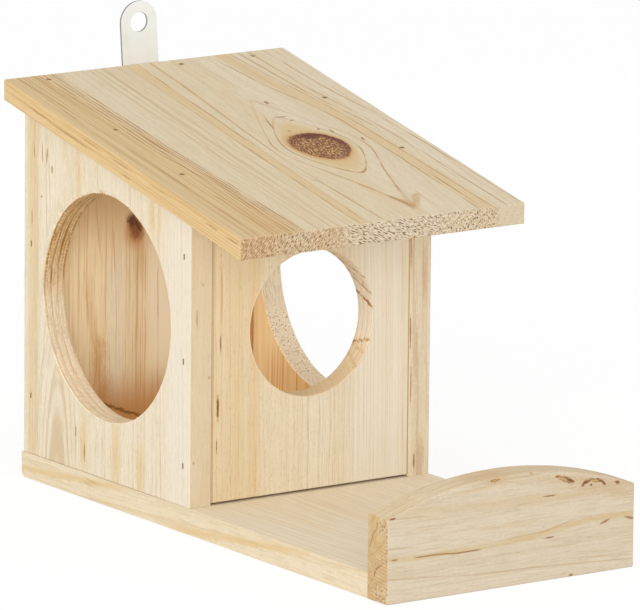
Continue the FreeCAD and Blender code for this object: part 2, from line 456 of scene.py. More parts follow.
class Signal:
    """One socket of a node recipe, for use in Python expressions."""

    def __init__(self, recipe, socket):
        self.recipe = recipe
        self.socket = socket

    def _math(self, operation, *others):
        return self.recipe.math(operation, self, *others)

    def __add__(self, other):
        return self._math("ADD", other)

    def __radd__(self, other):
        return self.recipe.math("ADD", other, self)

    def __sub__(self, other):
        return self._math("SUBTRACT", other)

    def __rsub__(self, other):
        return self.recipe.math("SUBTRACT", other, self)

    def __mul__(self, other):
        return self._math("MULTIPLY", other)

    def __rmul__(self, other):
        return self.recipe.math("MULTIPLY", other, self)

    def __truediv__(self, other):
        return self._math("DIVIDE", other)

    def __pow__(self, other):
        return self._math("POWER", other)

    def __neg__(self):
        return self.recipe.math("MULTIPLY", self, -1.0)

    def __abs__(self):
        return self._math("ABSOLUTE")

    def least(self, other):
        return self._math("MINIMUM", other)

    def most(self, other):
        return self._math("MAXIMUM", other)

    def whole(self):
        return self._math("FLOOR")

    def part(self):
        return self._math("FRACT")

    def root(self):
        return self._math("SQRT")

    def natural_power(self):
        return self._math("EXPONENT")

    def wave(self):
        return self._math("SINE")

    def length(self):
        return self.recipe.node("ShaderNodeVectorMath", {"operation": "LENGTH"},
                                {0: self}, "Value")

    def fade(self, near, far):
        """1 below near, 0 above far, smooth between."""
        return self.clear_step(far, near)

    def window(self, low, high, soft):
        """1 from low to high, falling to 0 over soft at both ends."""
        half = (high - low) / 2
        return abs(self - (low + high) / 2).fade(half - soft, half + soft)

    def dot(self, vector):
        return self.recipe.node("ShaderNodeVectorMath", {"operation": "DOT_PRODUCT"},
                                {0: self, 1: vector}, "Value")

    def clear_step(self, low, high):
        """0 below low, 1 above high, smooth between."""
        return self.recipe.node("ShaderNodeMapRange", {"interpolation_type": "SMOOTHSTEP"},
                                {"Value": self, "From Min": low, "From Max": high})


class Recipe:
    """A node tree that is filled by expressions and by one call for any other node."""

    def __init__(self, tree):
        self.tree = tree
        tree.nodes.clear()

    def node(self, kind, settings, inputs, output=0):
        """A node of a type, its settings made first and its sockets fed after."""
        made = self.tree.nodes.new(kind)
        for name, value in settings.items():
            setattr(made, name, value)
        for name, value in inputs.items():
            if isinstance(value, Signal):
                self.tree.links.new(value.socket, made.inputs[name])
            else:
                made.inputs[name].default_value = value
        return Signal(self, made.outputs[output]) if made.outputs else made

    def math(self, operation, *values):
        """A Math node, or a Vector Math node where a value is a vector."""
        vector = any(v.socket.type == "VECTOR" if isinstance(v, Signal)
                     else isinstance(v, (tuple, Vector)) for v in values)
        kind = "ShaderNodeVectorMath" if vector else "ShaderNodeMath"
        if vector:
            values = [(v, v, v) if isinstance(v, (int, float)) else v for v in values]
        return self.node(kind, {"operation": operation}, dict(enumerate(values)))

    def vector(self, x, y, z):
        """Three values as one vector."""
        return self.node("ShaderNodeCombineXYZ", {}, {0: x, 1: y, 2: z})

    def noise(self, where, size=1.0, detail=2.0, roughness=0.5):
        """Noise from 0 to 1, with bumps about size wide."""
        return self.node("ShaderNodeTexNoise", {"noise_dimensions": "3D"}, {
            "Vector": where, "Scale": 1.0 / size, "Detail": detail, "Roughness": roughness})


class Finish(Recipe):
    """A material with one principled surface."""

    def __init__(self, name, specular=0.3):
        self.material = bpy.data.materials.new(name)
        self.material.use_nodes = True
        super().__init__(self.material.node_tree)
        self.surface = self.tree.nodes.new("ShaderNodeBsdfPrincipled")
        self.surface.inputs["Specular IOR Level"].default_value = specular
        output = self.tree.nodes.new("ShaderNodeOutputMaterial")
        self.tree.links.new(self.surface.outputs[0], output.inputs["Surface"])

    def blend(self, amount, under, over):
        """Two colours mixed by an amount from 0 to 1."""
        under, over = [tone if isinstance(tone, Signal) else (*tone, 1.0) for tone in (under, over)]
        return self.node("ShaderNodeMix", {"data_type": "RGBA"}, {0: amount, 6: under, 7: over}, 2)

    def stain(self, amount, tone, dark):
        """A dark mark that turns the wood amber before it turns dark."""
        return self.blend(amount * amount, self.blend(amount, tone, colours().amber), dark)

    def shade(self, tone, light):
        """A colour made lighter or darker by a factor near 1."""
        return self.node("ShaderNodeVectorMath", {"operation": "SCALE"}, {0: tone, "Scale": light})

    def feed(self, name, value):
        """Gives one of the surface's sockets a value or a signal."""
        socket = self.surface.inputs[name]
        if isinstance(value, Signal):
            self.tree.links.new(value.socket, socket)
        else:
            socket.default_value = value

    def relief(self, height, distance, strength=1.0):
        """Fine relief that is too small to model, in metres."""
        bump = self.node("ShaderNodeBump", {}, {
            "Strength": strength, "Distance": distance, "Height": height})
        self.feed("Normal", bump)


class Coat:
    """A board's colour and relief while one mark after another is laid on it."""

    def __init__(self, finish, tone, height=0.0):
        self.finish, self.tone, self.height = finish, tone, height

    def blend(self, amount, colour):
        """Lays a colour on."""
        self.tone = self.finish.blend(amount, self.tone, colour)

    def stain(self, amount, dark):
        """Lays a dark mark on, with amber round it."""
        self.tone = self.finish.stain(amount, self.tone, dark)

    def shade(self, light):
        """Makes the whole lighter or darker."""
        self.tone = self.finish.shade(self.tone, light)


# Wood

class Grain:
    """Where a point lies in its board, in millimetres: along the grain, across it, and depth
    below the face. flow is the place across, after the slow wander of the grain."""

    def __init__(self, finish, board):
        place = finish.node("ShaderNodeTexCoord", {}, {}, "Object")
        self.facing = finish.node("ShaderNodeTexCoord", {}, {}, "Normal")
        self.finish = finish
        self.seed = board["seed"]
        self.axes = [Vector(board[name]) for name in ("grain", "across", "depth")]
        self.start = [axis.dot(Vector(board["start"])) for axis in self.axes]
        self.along, self.across, self.depth = [
            place.dot(tuple(axis / MM)) - offset / MM
            for axis, offset in zip(self.axes, self.start)]
        self.place = finish.vector(self.along, self.across, self.depth)
        wander = self.noise(90.0, 30.0, 1.0) - 0.5
        ripple = (self.noise(26.0, 9.0, 1.0, 5.0) - 0.5) * 1.1
        self.drawn = self.across + ripple
        self.flow = wander * board["wander"] + self.drawn
        self.cut_across = abs(self.facing.dot(tuple(self.axes[0])))
        self.rough = finish.noise(self.place * (0.6, 1.1, 1.1), 1.0, 3.0) - 0.5

    def measure(self, point):
        """A point's place in the board, as plain numbers in millimetres."""
        return [(axis.dot(point) - first) / MM for axis, first in zip(self.axes, self.start)]

    def looking(self, direction):
        """1 on the faces that look this way."""
        return self.facing.dot(direction).clear_step(0.55, 0.85)

    def noise(self, length, width, detail=2.0, shift=0.0, across=None, roughness=0.5):
        """Noise drawn out along the grain."""
        finish = self.finish
        where = self.place if across is None else finish.vector(self.along, across, self.depth)
        where = finish.node("ShaderNodeVectorMath", {"operation": "MULTIPLY_ADD"}, {
            0: where, 1: (1 / length, 1 / width, 1 / width), 2: (self.seed + shift, 0.0, 0.0)})
        return finish.noise(where, 1.0, detail, roughness)

    def reach(self, along, across, length, width, turn=0.0, depth=(0.0, 1000.0)):
        """Distance from a place in the board, in half sizes. depth is its (place, half size)."""
        there = self.finish.node("ShaderNodeMapping", {"vector_type": "TEXTURE"}, {
            "Vector": self.place, "Location": (along, across, depth[0]),
            "Rotation": (0.0, 0.0, math.radians(turn)), "Scale": (length, width, depth[1])})
        return there.length()

    def spots(self, places, edge=0.4, ragged=0.5, depth=(0.0, 1000.0)):
        """Soft-edged marks, each (along, across, half length, half width, turn)."""
        rough = self.rough * (ragged * 2.0)
        drawn = 0.0
        for along, across, length, width, turn in places:
            reach = self.reach(along, across, length, width, turn, depth) + rough
            drawn = reach.fade(1.0 - edge, 1.0 + edge).most(drawn)
        return drawn

    def side_spots(self, places, edge=0.5, ragged=0.5):
        """The same on a board's narrow side, each (along, depth, half length, half depth)."""
        rough = self.rough * (ragged * 2.0)
        drawn = 0.0
        for along, deep, length, half_depth in places:
            reach = self.reach(along, 0.0, length, 1000.0, 0.0, (deep, half_depth)) + rough
            drawn = reach.fade(1.0 - edge, 1.0 + edge).most(drawn)
        return drawn

    def beside(self, points, run=None, place=None):
        """Distance across the grain from a line through (along, across) points, or from a line
        through (run, place) points where these two are given."""
        run = self.along if run is None else run
        place = self.drawn if place is None else place
        middle = None
        for (low, here), (high, there) in zip(points, points[1:]):
            first = here if middle is None else 0.0
            part = self.finish.node("ShaderNodeMapRange", {}, {
                "Value": run, "From Min": float(low), "From Max": float(high),
                "To Min": float(first), "To Max": float(there - here + first)})
            middle = part if middle is None else middle + part
        return abs(place - middle)

    def strokes(self, paths, width, ends=5.0, least=0.35):
        """Thin lines along the grain, each through its (along, across) points."""
        drawn = 0.0
        for points in paths:
            stroke = self.beside(points).fade(width * 0.2, width)
            drawn = (stroke * self.along.window(points[0][0], points[-1][0], ends)).most(drawn)
        uneven = self.noise(22.0, 3.0, 2.0, 17.0).clear_step(0.35, 0.6)
        return drawn * (uneven * (1.0 - least) + least)

    def seams(self, width, least, shift, length=170.0):
        """Fine lines of uneven width along the grain. A lower least value gives more of them."""
        return self.noise(length, width, 1.5, shift, self.flow).clear_step(least, least + 0.14)


def growth_rings(grain, board):
    """Distance from the pith in millimetres. The grain flows round the board's knots."""
    pith_across, pith_depth = board["pith"]
    away = abs(grain.flow - pith_across)
    deep = grain.along * board["taper"] + pith_depth
    for knot in board["knots"]:
        beyond = ((grain.along - knot["along"]) ** 2.0 + knot["core"] ** 2.0).root() - knot["core"]
        near = (beyond / -knot["flow_length"]).natural_power()
        beside = (-((grain.across - knot["across"]) / knot["flow_width"]) ** 2.0).natural_power()
        deep = deep * (1.0 - near * beside)
    down = abs(deep - grain.depth)
    power = board["roundness"]
    return ((away + 0.01) ** power + (down + 0.01) ** power) ** (1.0 / power)


USUAL_BOARD = {
    "wander": 5.0,          # how far the grain wanders across, in millimetres
    "taper": 0.0,           # how fast the pith drops away along the board
    "roundness": 2.0,       # 2 for round rings, less for squarer ones
    "unequal": 6.0,         # how much the rings differ in width, in millimetres
    "knots": (),
    "contrast": 0.55,       # strength of the growth lines
    "clear_heart": None,    # radius inside which the growth lines are faint
    "ochre": 0.5, "rusty": 0.15,    # strength of the ochre and reddish bands
    "fibre_width": 0.5,
    "pores": 0.8, "sawn": 0.85,     # strength of the end grain's pores, and of the end grain
    # light: painted light, the outer faces darker so that the inner faces stay lighter against the
    # shade inside the box
    "light": 0.845,         # lightness of the outer faces beside the inner ones
    "inside": None,         # the way that the inner face looks
    "end_marks": None,
}


def wood(name, own_settings):
    """A board's finish: yearly growth lines, bands, fibres, flecks and sawn end grain, from its
    own place in the log, then the marks of its own."""
    look = colours()
    board = {**USUAL_BOARD, **own_settings}
    finish = Finish(name)
    grain = Grain(finish, board)
    radius = growth_rings(grain, board)
    slow = finish.noise(finish.vector(radius / 11.0, board["seed"], 0.0), 1.0, 1.0) - 0.5
    years = (slow * board["unequal"] + radius) / board["ring"]
    year, season = years.whole(), years.part()
    chance = finish.node("ShaderNodeTexWhiteNoise", {"noise_dimensions": "1D"},
                         {"W": year + board["seed"] * 3.7})
    broken = grain.noise(55.0, 2.2, 2.0, 11.0)
    vigour = (chance * chance * 0.9 + 0.2) * broken.clear_step(0.22, 0.62)
    late = season.clear_step(0.55, 0.93) * season.fade(0.95, 1.0) * vigour
    band = grain.noise(420.0, 10.0, 1.5, 3.0, grain.flow)
    blush = grain.noise(300.0, 16.0, 1.0, 7.0, grain.flow)
    fibre = grain.noise(16.0, board["fibre_width"], 3.0, 1.0, roughness=0.7)
    strand = grain.noise(70.0, 1.3, 2.0, 2.0)
    mottle = grain.noise(12.0, 6.0, 3.0, 4.0)
    fleck = grain.noise(6.0, 0.40, 1.0, 9.0).clear_step(0.66, 0.76)

    banded = finish.blend(band.clear_step(0.36, 0.72) * board["ochre"], look.pale, look.ochre)
    coat = Coat(finish, banded, fibre * 0.6 + late * 0.45 - fleck * 0.5 + strand * 0.3)
    coat.blend(blush.clear_step(0.45, 0.75) * board["rusty"], look.rust)
    coat.blend(season * season * vigour * 0.25, look.ochre)
    shown = board["contrast"]
    if board["clear_heart"]:
        beyond_heart = radius.clear_step(board["clear_heart"] - 1.5, board["clear_heart"] + 1.5)
        shown = beyond_heart * (shown * 0.85) + shown * 0.15
    coat.blend(late * shown, look.line)
    coat.stain(fleck * (late + 0.3) * 0.5, look.bark)
    coat.blend(fibre.fade(0.30, 0.50) * 0.45, look.ochre)
    coat.shade((fibre - 0.5) * 0.28 + grain.rough * 0.20 + (strand - 0.5) * 0.08
               + (mottle - 0.5) * 0.10 + 1.0)
    board["marks"](coat, grain, radius)

    sawn = grain.cut_across.clear_step(0.45, 0.85)
    face = finish.vector(grain.across, grain.depth, grain.along * 0.5)
    grit = finish.noise(face, 0.6, 3.0, 0.65)
    tufts = finish.noise(face, 3.4, 2.0)
    drag = finish.noise(finish.vector((grain.across + grain.depth) / 0.5,
                                      (grain.across - grain.depth) / 6.0, board["seed"]), 1.0, 2.0)
    specks = finish.noise(face, 0.62, 1.0)
    open_wood = ((tufts - 0.5) * 1.2 + 0.5 + late * 0.2).clear_step(0.30, 0.52)
    pore = specks.fade(0.36, 0.44) * open_wood * board["pores"]
    ends = Coat(finish, finish.blend(band * 0.6 + 0.1, look.end, look.ochre))
    ends.blend(season.clear_step(0.55, 0.95) * (chance * 0.5 + 0.35), look.seam)
    ends.blend(drag.clear_step(0.52, 0.60) * 0.35, look.seam)
    ends.blend(specks.clear_step(0.56, 0.64) * board["pores"] * 0.6, look.cream)
    ends.stain(pore, look.pore)
    ends.shade(grit * 0.7 + 0.67)
    if board["end_marks"]:
        board["end_marks"](ends, grain)
    coat.blend(sawn * board["sawn"], ends.tone)
    coat.height = coat.height * (1.0 - sawn) + sawn * (grit * 1.6 + tufts * 0.6 - pore * 2.5)
    # Painted light: the outer faces take the board's light factor, while the faces that look inside
    # stay at full lightness to make up for the shade inside the box.
    light = board["light"]
    if board["inside"]:
        light = grain.looking(board["inside"]) * (1.0 - light) + light
    finish.feed("Base Color", finish.shade(coat.tone, light))
    finish.feed("Roughness", (fibre - 0.5) * 0.2 - late * 0.1 + sawn * 0.15 + 0.66)
    finish.relief(coat.height, 0.16 * MM, 0.8)
    return finish.material


UP, RIGHT, BACK, LEFT, FORWARD = (0, 0, 1), (1, 0, 0), (0, 1, 0), (-1, 0, 0), (0, -1, 0)
ROOF_PITCH = math.radians(12)
DOWN_ROOF = (0, math.sin(ROOF_PITCH), -math.cos(ROOF_PITCH))
UP_ROOF = (0, math.cos(ROOF_PITCH), math.sin(ROOF_PITCH))


# Marks of each board, in millimetres along and across it

SIDE_ENTRANCE = (83.5, 69.5, 47.5)      # its middle along and across the board, and its radius
FRONT_ENTRANCE = (82.0, 0.0, 30.5)
ROOF_KNOT = (77.5, 21.0)


def brad_stains_and_shade(grain, seats, length=1.7, width=1.0):
    """Dull, darker wood just round the heads of a board's brads: stains, and painted shade of the
    recess round each head.
    """
    places = [grain.measure(seat.head) for seat in seats]
    return grain.spots([(*place[:2], length, width, 0.0) for place in places], 0.4, 0.4,
                       (places[0][2], 2.0))


def round_knot(coat, grain, place, half_length, half_width, taper):
    """A knot sawn across: a ringed brown heart, a dark red edge and an orange halo."""
    look, finish = colours(), coat.finish
    along, across = place
    narrow = (grain.along - along) * taper + 1.0
    away_along = (grain.along - along) / half_length
    away_across = (grain.across - across) / (narrow * half_width)
    wide = finish.noise(grain.place, 5.0, 2.0) - 0.5
    reach = (away_along ** 2.0 + away_across ** 2.0).root() + wide * 0.16 + grain.rough * 0.12
    heart = reach.fade(0.95, 1.03)
    rings = (reach * 29.0 + wide * 12.0).wave() * 0.5 + 0.5
    grit = finish.noise(grain.place * (1.0, 1.9, 1.9), 1.0, 1.0)
    inner = finish.blend(rings * 0.35, look.knot, look.heart)
    inner = finish.blend(grit.clear_step(0.51, 0.58) * 0.9, inner, look.heart)
    inner = finish.blend(grit.fade(0.37, 0.44) * 0.95, inner, look.gold)
    near_side = away_across * 0.50 + away_along * 0.45 + grain.rough * 2.6 + 0.42
    edge = reach.clear_step(0.62, 0.92) * reach.fade(1.0, 1.06) * near_side
    halo = reach.fade(1.0, 1.34) * (wide * 2.0 + 0.75)
    coat.blend(halo.least(1.0) * 0.6, look.amber)
    coat.blend(reach.fade(0.98, 1.12) * 0.9, look.rust)
    coat.blend(heart * 0.97, inner)
    coat.blend(edge.least(1.0).most(0.0) * 0.95, look.ember)
    pitch = grain.spots(((along + half_length * 0.74, across + 1.2, 2.8, 3.6, 0),), 0.5, 0.9)
    coat.blend(pitch * 0.8, look.ember)
    coat.height = coat.height * (1.0 - heart) + heart * (rings * 0.5 + grit * 1.2)


def entrance_rim(grain, entrance, skin):
    """1 on the wall of an entrance and on a thin ring of the faces round it."""
    along, across, radius = entrance
    return grain.reach(along, across, radius + skin, radius + skin).fade(0.99, 1.0)


def sawn_wall(coat, grain, entrance, saw_lines, fuzz, speckled, painted_rim_light):
    """The wall of a round entrance: rows of saw lines, standing fibres, dark specks at its foot,
    and painted light that makes the wall lighter, most at its foot."""
    look, finish = colours(), coat.finish
    along, across, radius = entrance
    up, aside = grain.along - along, grain.across - across
    wall = ((up ** 2.0 + aside ** 2.0).root() - radius).fade(0.3, 0.7)
    lines = finish.noise(grain.place * (0.11, 0.11, 1.8), 1.0, 2.0, 0.55)
    sway = finish.noise(grain.place * (0.06, 0.06, 0.0), 1.0, 1.0) - 0.5
    rows = ((grain.depth * 2.05 + sway * 3.0).wave() * 0.5 + 0.5) ** 4.0
    tufts = finish.noise(grain.place * (1.0, 1.0, 0.9), 1.0, 3.0, 0.6)
    torn = ((up * 0.88 + aside * 0.47) / radius).clear_step(0.25, 0.9) * fuzz
    dark = (rows * 0.6 + lines.clear_step(0.52, 0.64) * 0.5) * (torn * 1.1 + 0.45) * saw_lines
    coat.blend(wall * 0.72, look.honey)
    coat.blend(wall * (0.5 - torn * 0.5), look.cream)
    coat.blend(wall * torn * 0.5, look.amber)
    coat.stain(wall * dark.least(0.9), look.seam)
    near_edges = abs(grain.depth - 5.2).clear_step(1.0, 4.6) * 0.7 + 0.3
    clumps = finish.noise(grain.place * 0.22, 1.0, 1.0).clear_step(0.40, 0.58)
    fibres = wall * torn * near_edges
    coat.blend(fibres * clumps * tufts.clear_step(0.54, 0.62) * 0.7, look.honey)
    coat.stain(fibres * tufts.fade(0.36, 0.44) * 0.7, look.seam)
    specks = finish.noise(grain.place, 0.75, 1.0)
    spotted = wall * (clumps * 0.3 + 0.7) * up.fade(-27.0, -12.0) * speckled
    coat.stain(spotted * specks.fade(0.34, 0.41), look.bark)
    coat.blend(spotted * specks.clear_step(0.56, 0.64) * 0.5, look.cream)
    # Painted light: the entrance wall is made lighter, most at its foot, against the shade inside
    # the entrance.
    foot = up.fade(-40.0, -18.0) * 0.16 * saw_lines ** 0.5
    light = (tufts - 0.5) * 0.5 * saw_lines + foot + painted_rim_light
    coat.shade(light * wall + 1.0)
    coat.height += wall * (lines * 1.5 - rows + torn * tufts * 4.0)


def left_wall_marks(coat, grain, radius):
    """The left wall: cream wood towards the front, arched growth lines low at the back, a golden
    strip along the back edge, brown flecks and the torn wall of its entrance."""
    look = colours()
    outer = grain.looking(LEFT)
    tips = (abs(radius - 10.8).fade(0.12, 0.8) * 0.55).most(abs(radius - 7.6).fade(0.5, 2.0) * 0.8)
    tips = tips * grain.along.fade(44.0, 50.0) * abs(grain.across - 106.5).fade(9.0, 12.0)
    coat.blend(tips * 0.6, look.line)
    lines = grain.strokes((
        ((12, 122), (31, 121.3), (48, 119), (61, 114.6), (70, 111)),
        ((95, 114), (125, 115.5), (152, 116)), ((118, 112), (150, 114.3)),
        ((12, 93), (24, 91.8), (34, 92.2)), ((13, 77), (33, 77)), ((14, 72), (30, 72)),
        ((12, 34.6), (42, 34.6)), ((12, 28.5), (36, 28.5))), 0.5)
    coat.blend(lines * 0.4, look.line)
    back_strip = grain.drawn.window(121.5, 128.5, 1.5)
    coat.blend(back_strip * 0.40, look.gold)
    coat.blend(back_strip * grain.seams(0.7, 0.5, 31.0) * 0.45, look.line)
    gold = grain.spots((
        (134, 90.8, 13, 1.6, 0), (128, 36.2, 7, 2.4, 0), (127, 30.5, 7, 1.2, 0),
        (24, 86.5, 12, 2.2, 0), (22, 62, 16, 3.2, 0), (20, 44, 10, 2.5, 0)), 0.9, 0.5)
    coat.blend(gold * 0.6, look.gold)
    brown = grain.spots((
        (140.5, 114.9, 3.4, 0.45, -4), (135.2, 111.0, 1.8, 0.5, 0), (19.5, 85.7, 3.6, 0.5, 0),
        (27, 92.2, 2.2, 0.4, 0), (122.4, 119.0, 0.4, 0.6, 0), (38, 80, 2.0, 0.35, 0),
        (141, 118.4, 4, 0.3, 0), (141, 124.6, 3, 0.3, 0), (112, 126.2, 4, 0.3, 0)))
    coat.stain(brown * outer * 0.8, look.seam)
    cream = grain.drawn.fade(18.0, 34.0) * 0.5
    coat.blend(cream * outer, look.cream)
    coat.shade((grain.noise(5.0, 0.5, 1.0, 61.0) - 0.5) * outer * 0.22 + 1.0)
    # Painted shade: the front-facing edge is darkened towards ochre against the strong light on
    # front faces; the dots on it are the wood's own.
    strip = grain.looking(FORWARD)
    coat.blend(strip * 0.45, look.ochre)
    dots = grain.side_spots((
        (65.0, 9.2, 0.7, 0.5), (30.0, 1.8, 0.8, 0.5), (104.0, 6.0, 0.6, 0.4),
        (90.0, 3.0, 4.0, 0.5)))
    coat.stain(strip * dots * 0.5, look.seam)
    dulled = brad_stains_and_shade(grain, brad_seats["left_wall_brads"], 1.8, 0.6)
    coat.stain(dulled * outer * 0.25, look.seam)
    # Painted light: honey on the inner face stands in for the warm bounce light inside the box.
    coat.blend(grain.looking(RIGHT) * 0.9, look.honey)
    coat.height -= brown * 0.6
    sawn_wall(coat, grain, SIDE_ENTRANCE, saw_lines=1.0, fuzz=1.0, speckled=0.15, painted_rim_light=0.10)


def right_wall_marks(coat, grain, radius):
    """The right wall: warm and lifted inside by painted light, with reddish lines low at the back,
    cracks along its front edge, and an entrance with dark specks at its foot."""
    look, finish = colours(), coat.finish
    inner = grain.looking(LEFT)
    # Painted light: honey on the inner face stands in for the warm bounce light inside the box.
    coat.blend(inner * 0.9, look.honey)
    coat.blend(inner * (grain.seams(4.0, 0.45, 13.0, 260.0) * 0.3 + 0.1), look.gold)
    low = grain.reach(26.0, 92.0, 26.0, 22.0).fade(0.4, 1.4)
    coat.blend(inner * low * 0.45, look.amber)
    coat.stain(inner * low * grain.seams(0.9, 0.50, 19.0) * 0.85, look.rust)
    coat.blend(inner * grain.seams(0.9, 0.54, 20.0) * 0.3, look.amber)
    # Painted light: the inner face is made lighter against the shade inside the box.
    coat.shade(inner * 0.14 + 1.0)
    front = grain.looking(FORWARD)
    brown = grain.side_spots((
        (18.0, 4.5, 8.0, 1.6), (62.0, 7.5, 14.0, 1.2), (96.0, 3.0, 10.0, 1.2)), 0.7, 0.7)
    coat.blend(brown * front * 0.35, look.rust)
    edge_lines = finish.noise(grain.place * (0.014, 0.0, 1.4), 1.0, 1.5)
    coat.blend(front * edge_lines.clear_step(0.54, 0.68) * 0.4, look.line)
    cracks = grain.side_spots((
        (72.0, 10.1, 7.0, 0.3), (108.0, 10.2, 9.0, 0.2), (50.0, 9.6, 9.0, 0.25),
        (17.0, 7.6, 3.5, 0.4)))
    coat.stain(front * cracks * 0.8, look.bark)
    coat.stain(brad_stains_and_shade(grain, brad_seats["right_wall_brads"]) * 0.45, look.seam)
    sawn_wall(coat, grain, SIDE_ENTRANCE, saw_lines=0.1, fuzz=0.0, speckled=0.9, painted_rim_light=0.30)
    rim = entrance_rim(grain, SIDE_ENTRANCE, 0.6)
    coat.blend(rim * 0.3, look.pale)
    short = finish.noise(grain.place * (0.2, 0.5, 2.4), 1.0, 1.0).clear_step(0.53, 0.61)
    coat.stain(rim * short * grain.along.clear_step(58.0, 68.0) * 0.3, look.seam)
    lifted = grain.depth.clear_step(9.7, 10.1) * grain.along.window(78.0, 100.0, 8.0)
    lifted = lifted * grain.across.clear_step(69.5, 75.0)
    coat.stain(rim * lifted * (grain.rough * 3.0 + 0.7).least(1.0), look.pore)


def front_wall_marks(coat, grain, radius):
    """The front wall: golden wood at the left, fine lines and cream wood at the right, brown
    flecks at its edges, and slanting saw lines on the right side of its entrance."""
    look, finish = colours(), coat.finish
    front = grain.looking(FORWARD)
    right_part = grain.drawn.window(8.0, 46.0, 5.0)
    coat.blend(right_part * grain.seams(0.6, 0.53, 23.0, 220.0) * 0.5, look.line)
    lines = grain.strokes((
        ((12, 12.4), (50, 12.0)), ((12, 4.6), (50, 4.2)), ((12, -27.5), (34, -27.2)),
        ((14, 21.2), (118, 20.8)), ((12, 26.6), (118, 26.2)), ((12, 30.4), (118, 29.6)),
        ((12, 37.7), (118, 37.0)), ((12, 46.6), (118, 46.8)), ((60, -40.5), (118, -40.8)),
        ((20, -36.2), (110, -36.0))), 0.45)
    coat.blend(lines * 0.45, look.line)
    streaks = grain.strokes((
        ((76, 45.4), (98, 45.8), (112, 45.2)), ((20, 46.4), (52, 46.0)),
        ((86, -44.6), (112, -44.9))), 0.6, 8.0)
    coat.stain(streaks * 0.6, look.seam)
    golden = grain.drawn.window(-31.0, -26.0, 2.0) * 0.25 \
        + grain.drawn.window(44.0, 49.0, 1.5) * 0.25 + grain.drawn.fade(-36.0, -12.0) * 0.42
    coat.blend(golden, look.gold)
    coat.blend(grain.drawn.clear_step(4.0, 30.0) * 0.5, look.cream)
    brown = grain.spots((
        (51.8, -46.4, 5.2, 0.6, 0), (78.6, -45.2, 3.6, 0.28, 0),
        (36, -46.9, 3.0, 0.2, 0)), 0.4, 0.5)
    coat.stain(brown * front * 0.9, look.bark)
    # Painted light: honey on the inner face stands in for the warm bounce light inside the box.
    coat.blend(grain.looking(BACK) * 0.9, look.honey)
    specks = grain.noise(2.6, 0.5, 1.0, 41.0).clear_step(0.66, 0.74) * grain.drawn.fade(-10.0, 12.0)
    coat.blend(specks * 0.5, look.rust)
    # Painted shade: a dark line along the front face's side edges, where they meet the side walls.
    edge = abs(grain.across).clear_step(48.3, 48.9) * 0.55
    coat.stain(edge * front, look.bark)
    coat.height -= brown * 0.8
    sawn_wall(coat, grain, FRONT_ENTRANCE, saw_lines=0.35, fuzz=0.3, speckled=0.2, painted_rim_light=0.06)
    rim = entrance_rim(grain, FRONT_ENTRANCE, 0.7)
    right_side = rim * grain.across.clear_step(14.0, 22.0)
    clouds = finish.noise(grain.place * 0.35, 1.0, 2.0).clear_step(0.38, 0.56)
    coat.blend(rim * grain.along.fade(66.0, 74.0) * 0.35, look.gold)
    coat.blend(right_side * grain.along.window(73.0, 112.0, 2.0) * 0.45, look.cream)
    slanting = 0.0
    for start, slope, dark in (
            (98.5, 0.7, 0.7), (94.5, 0.6, 0.5), (91.5, 0.6, 0.6), (85.5, 0.5, 0.9),
            (71.7, -0.23, 0.75), (66.5, 0.2, 0.4), (61.0, 0.4, 0.3)):
        line = abs(grain.depth * slope + grain.rough * 3.0 - grain.along + start).fade(0.3, 1.0)
        slanting = (line * dark).most(slanting)
    coat.stain(right_side * slanting * (clouds * 0.7 + 0.3), look.seam)


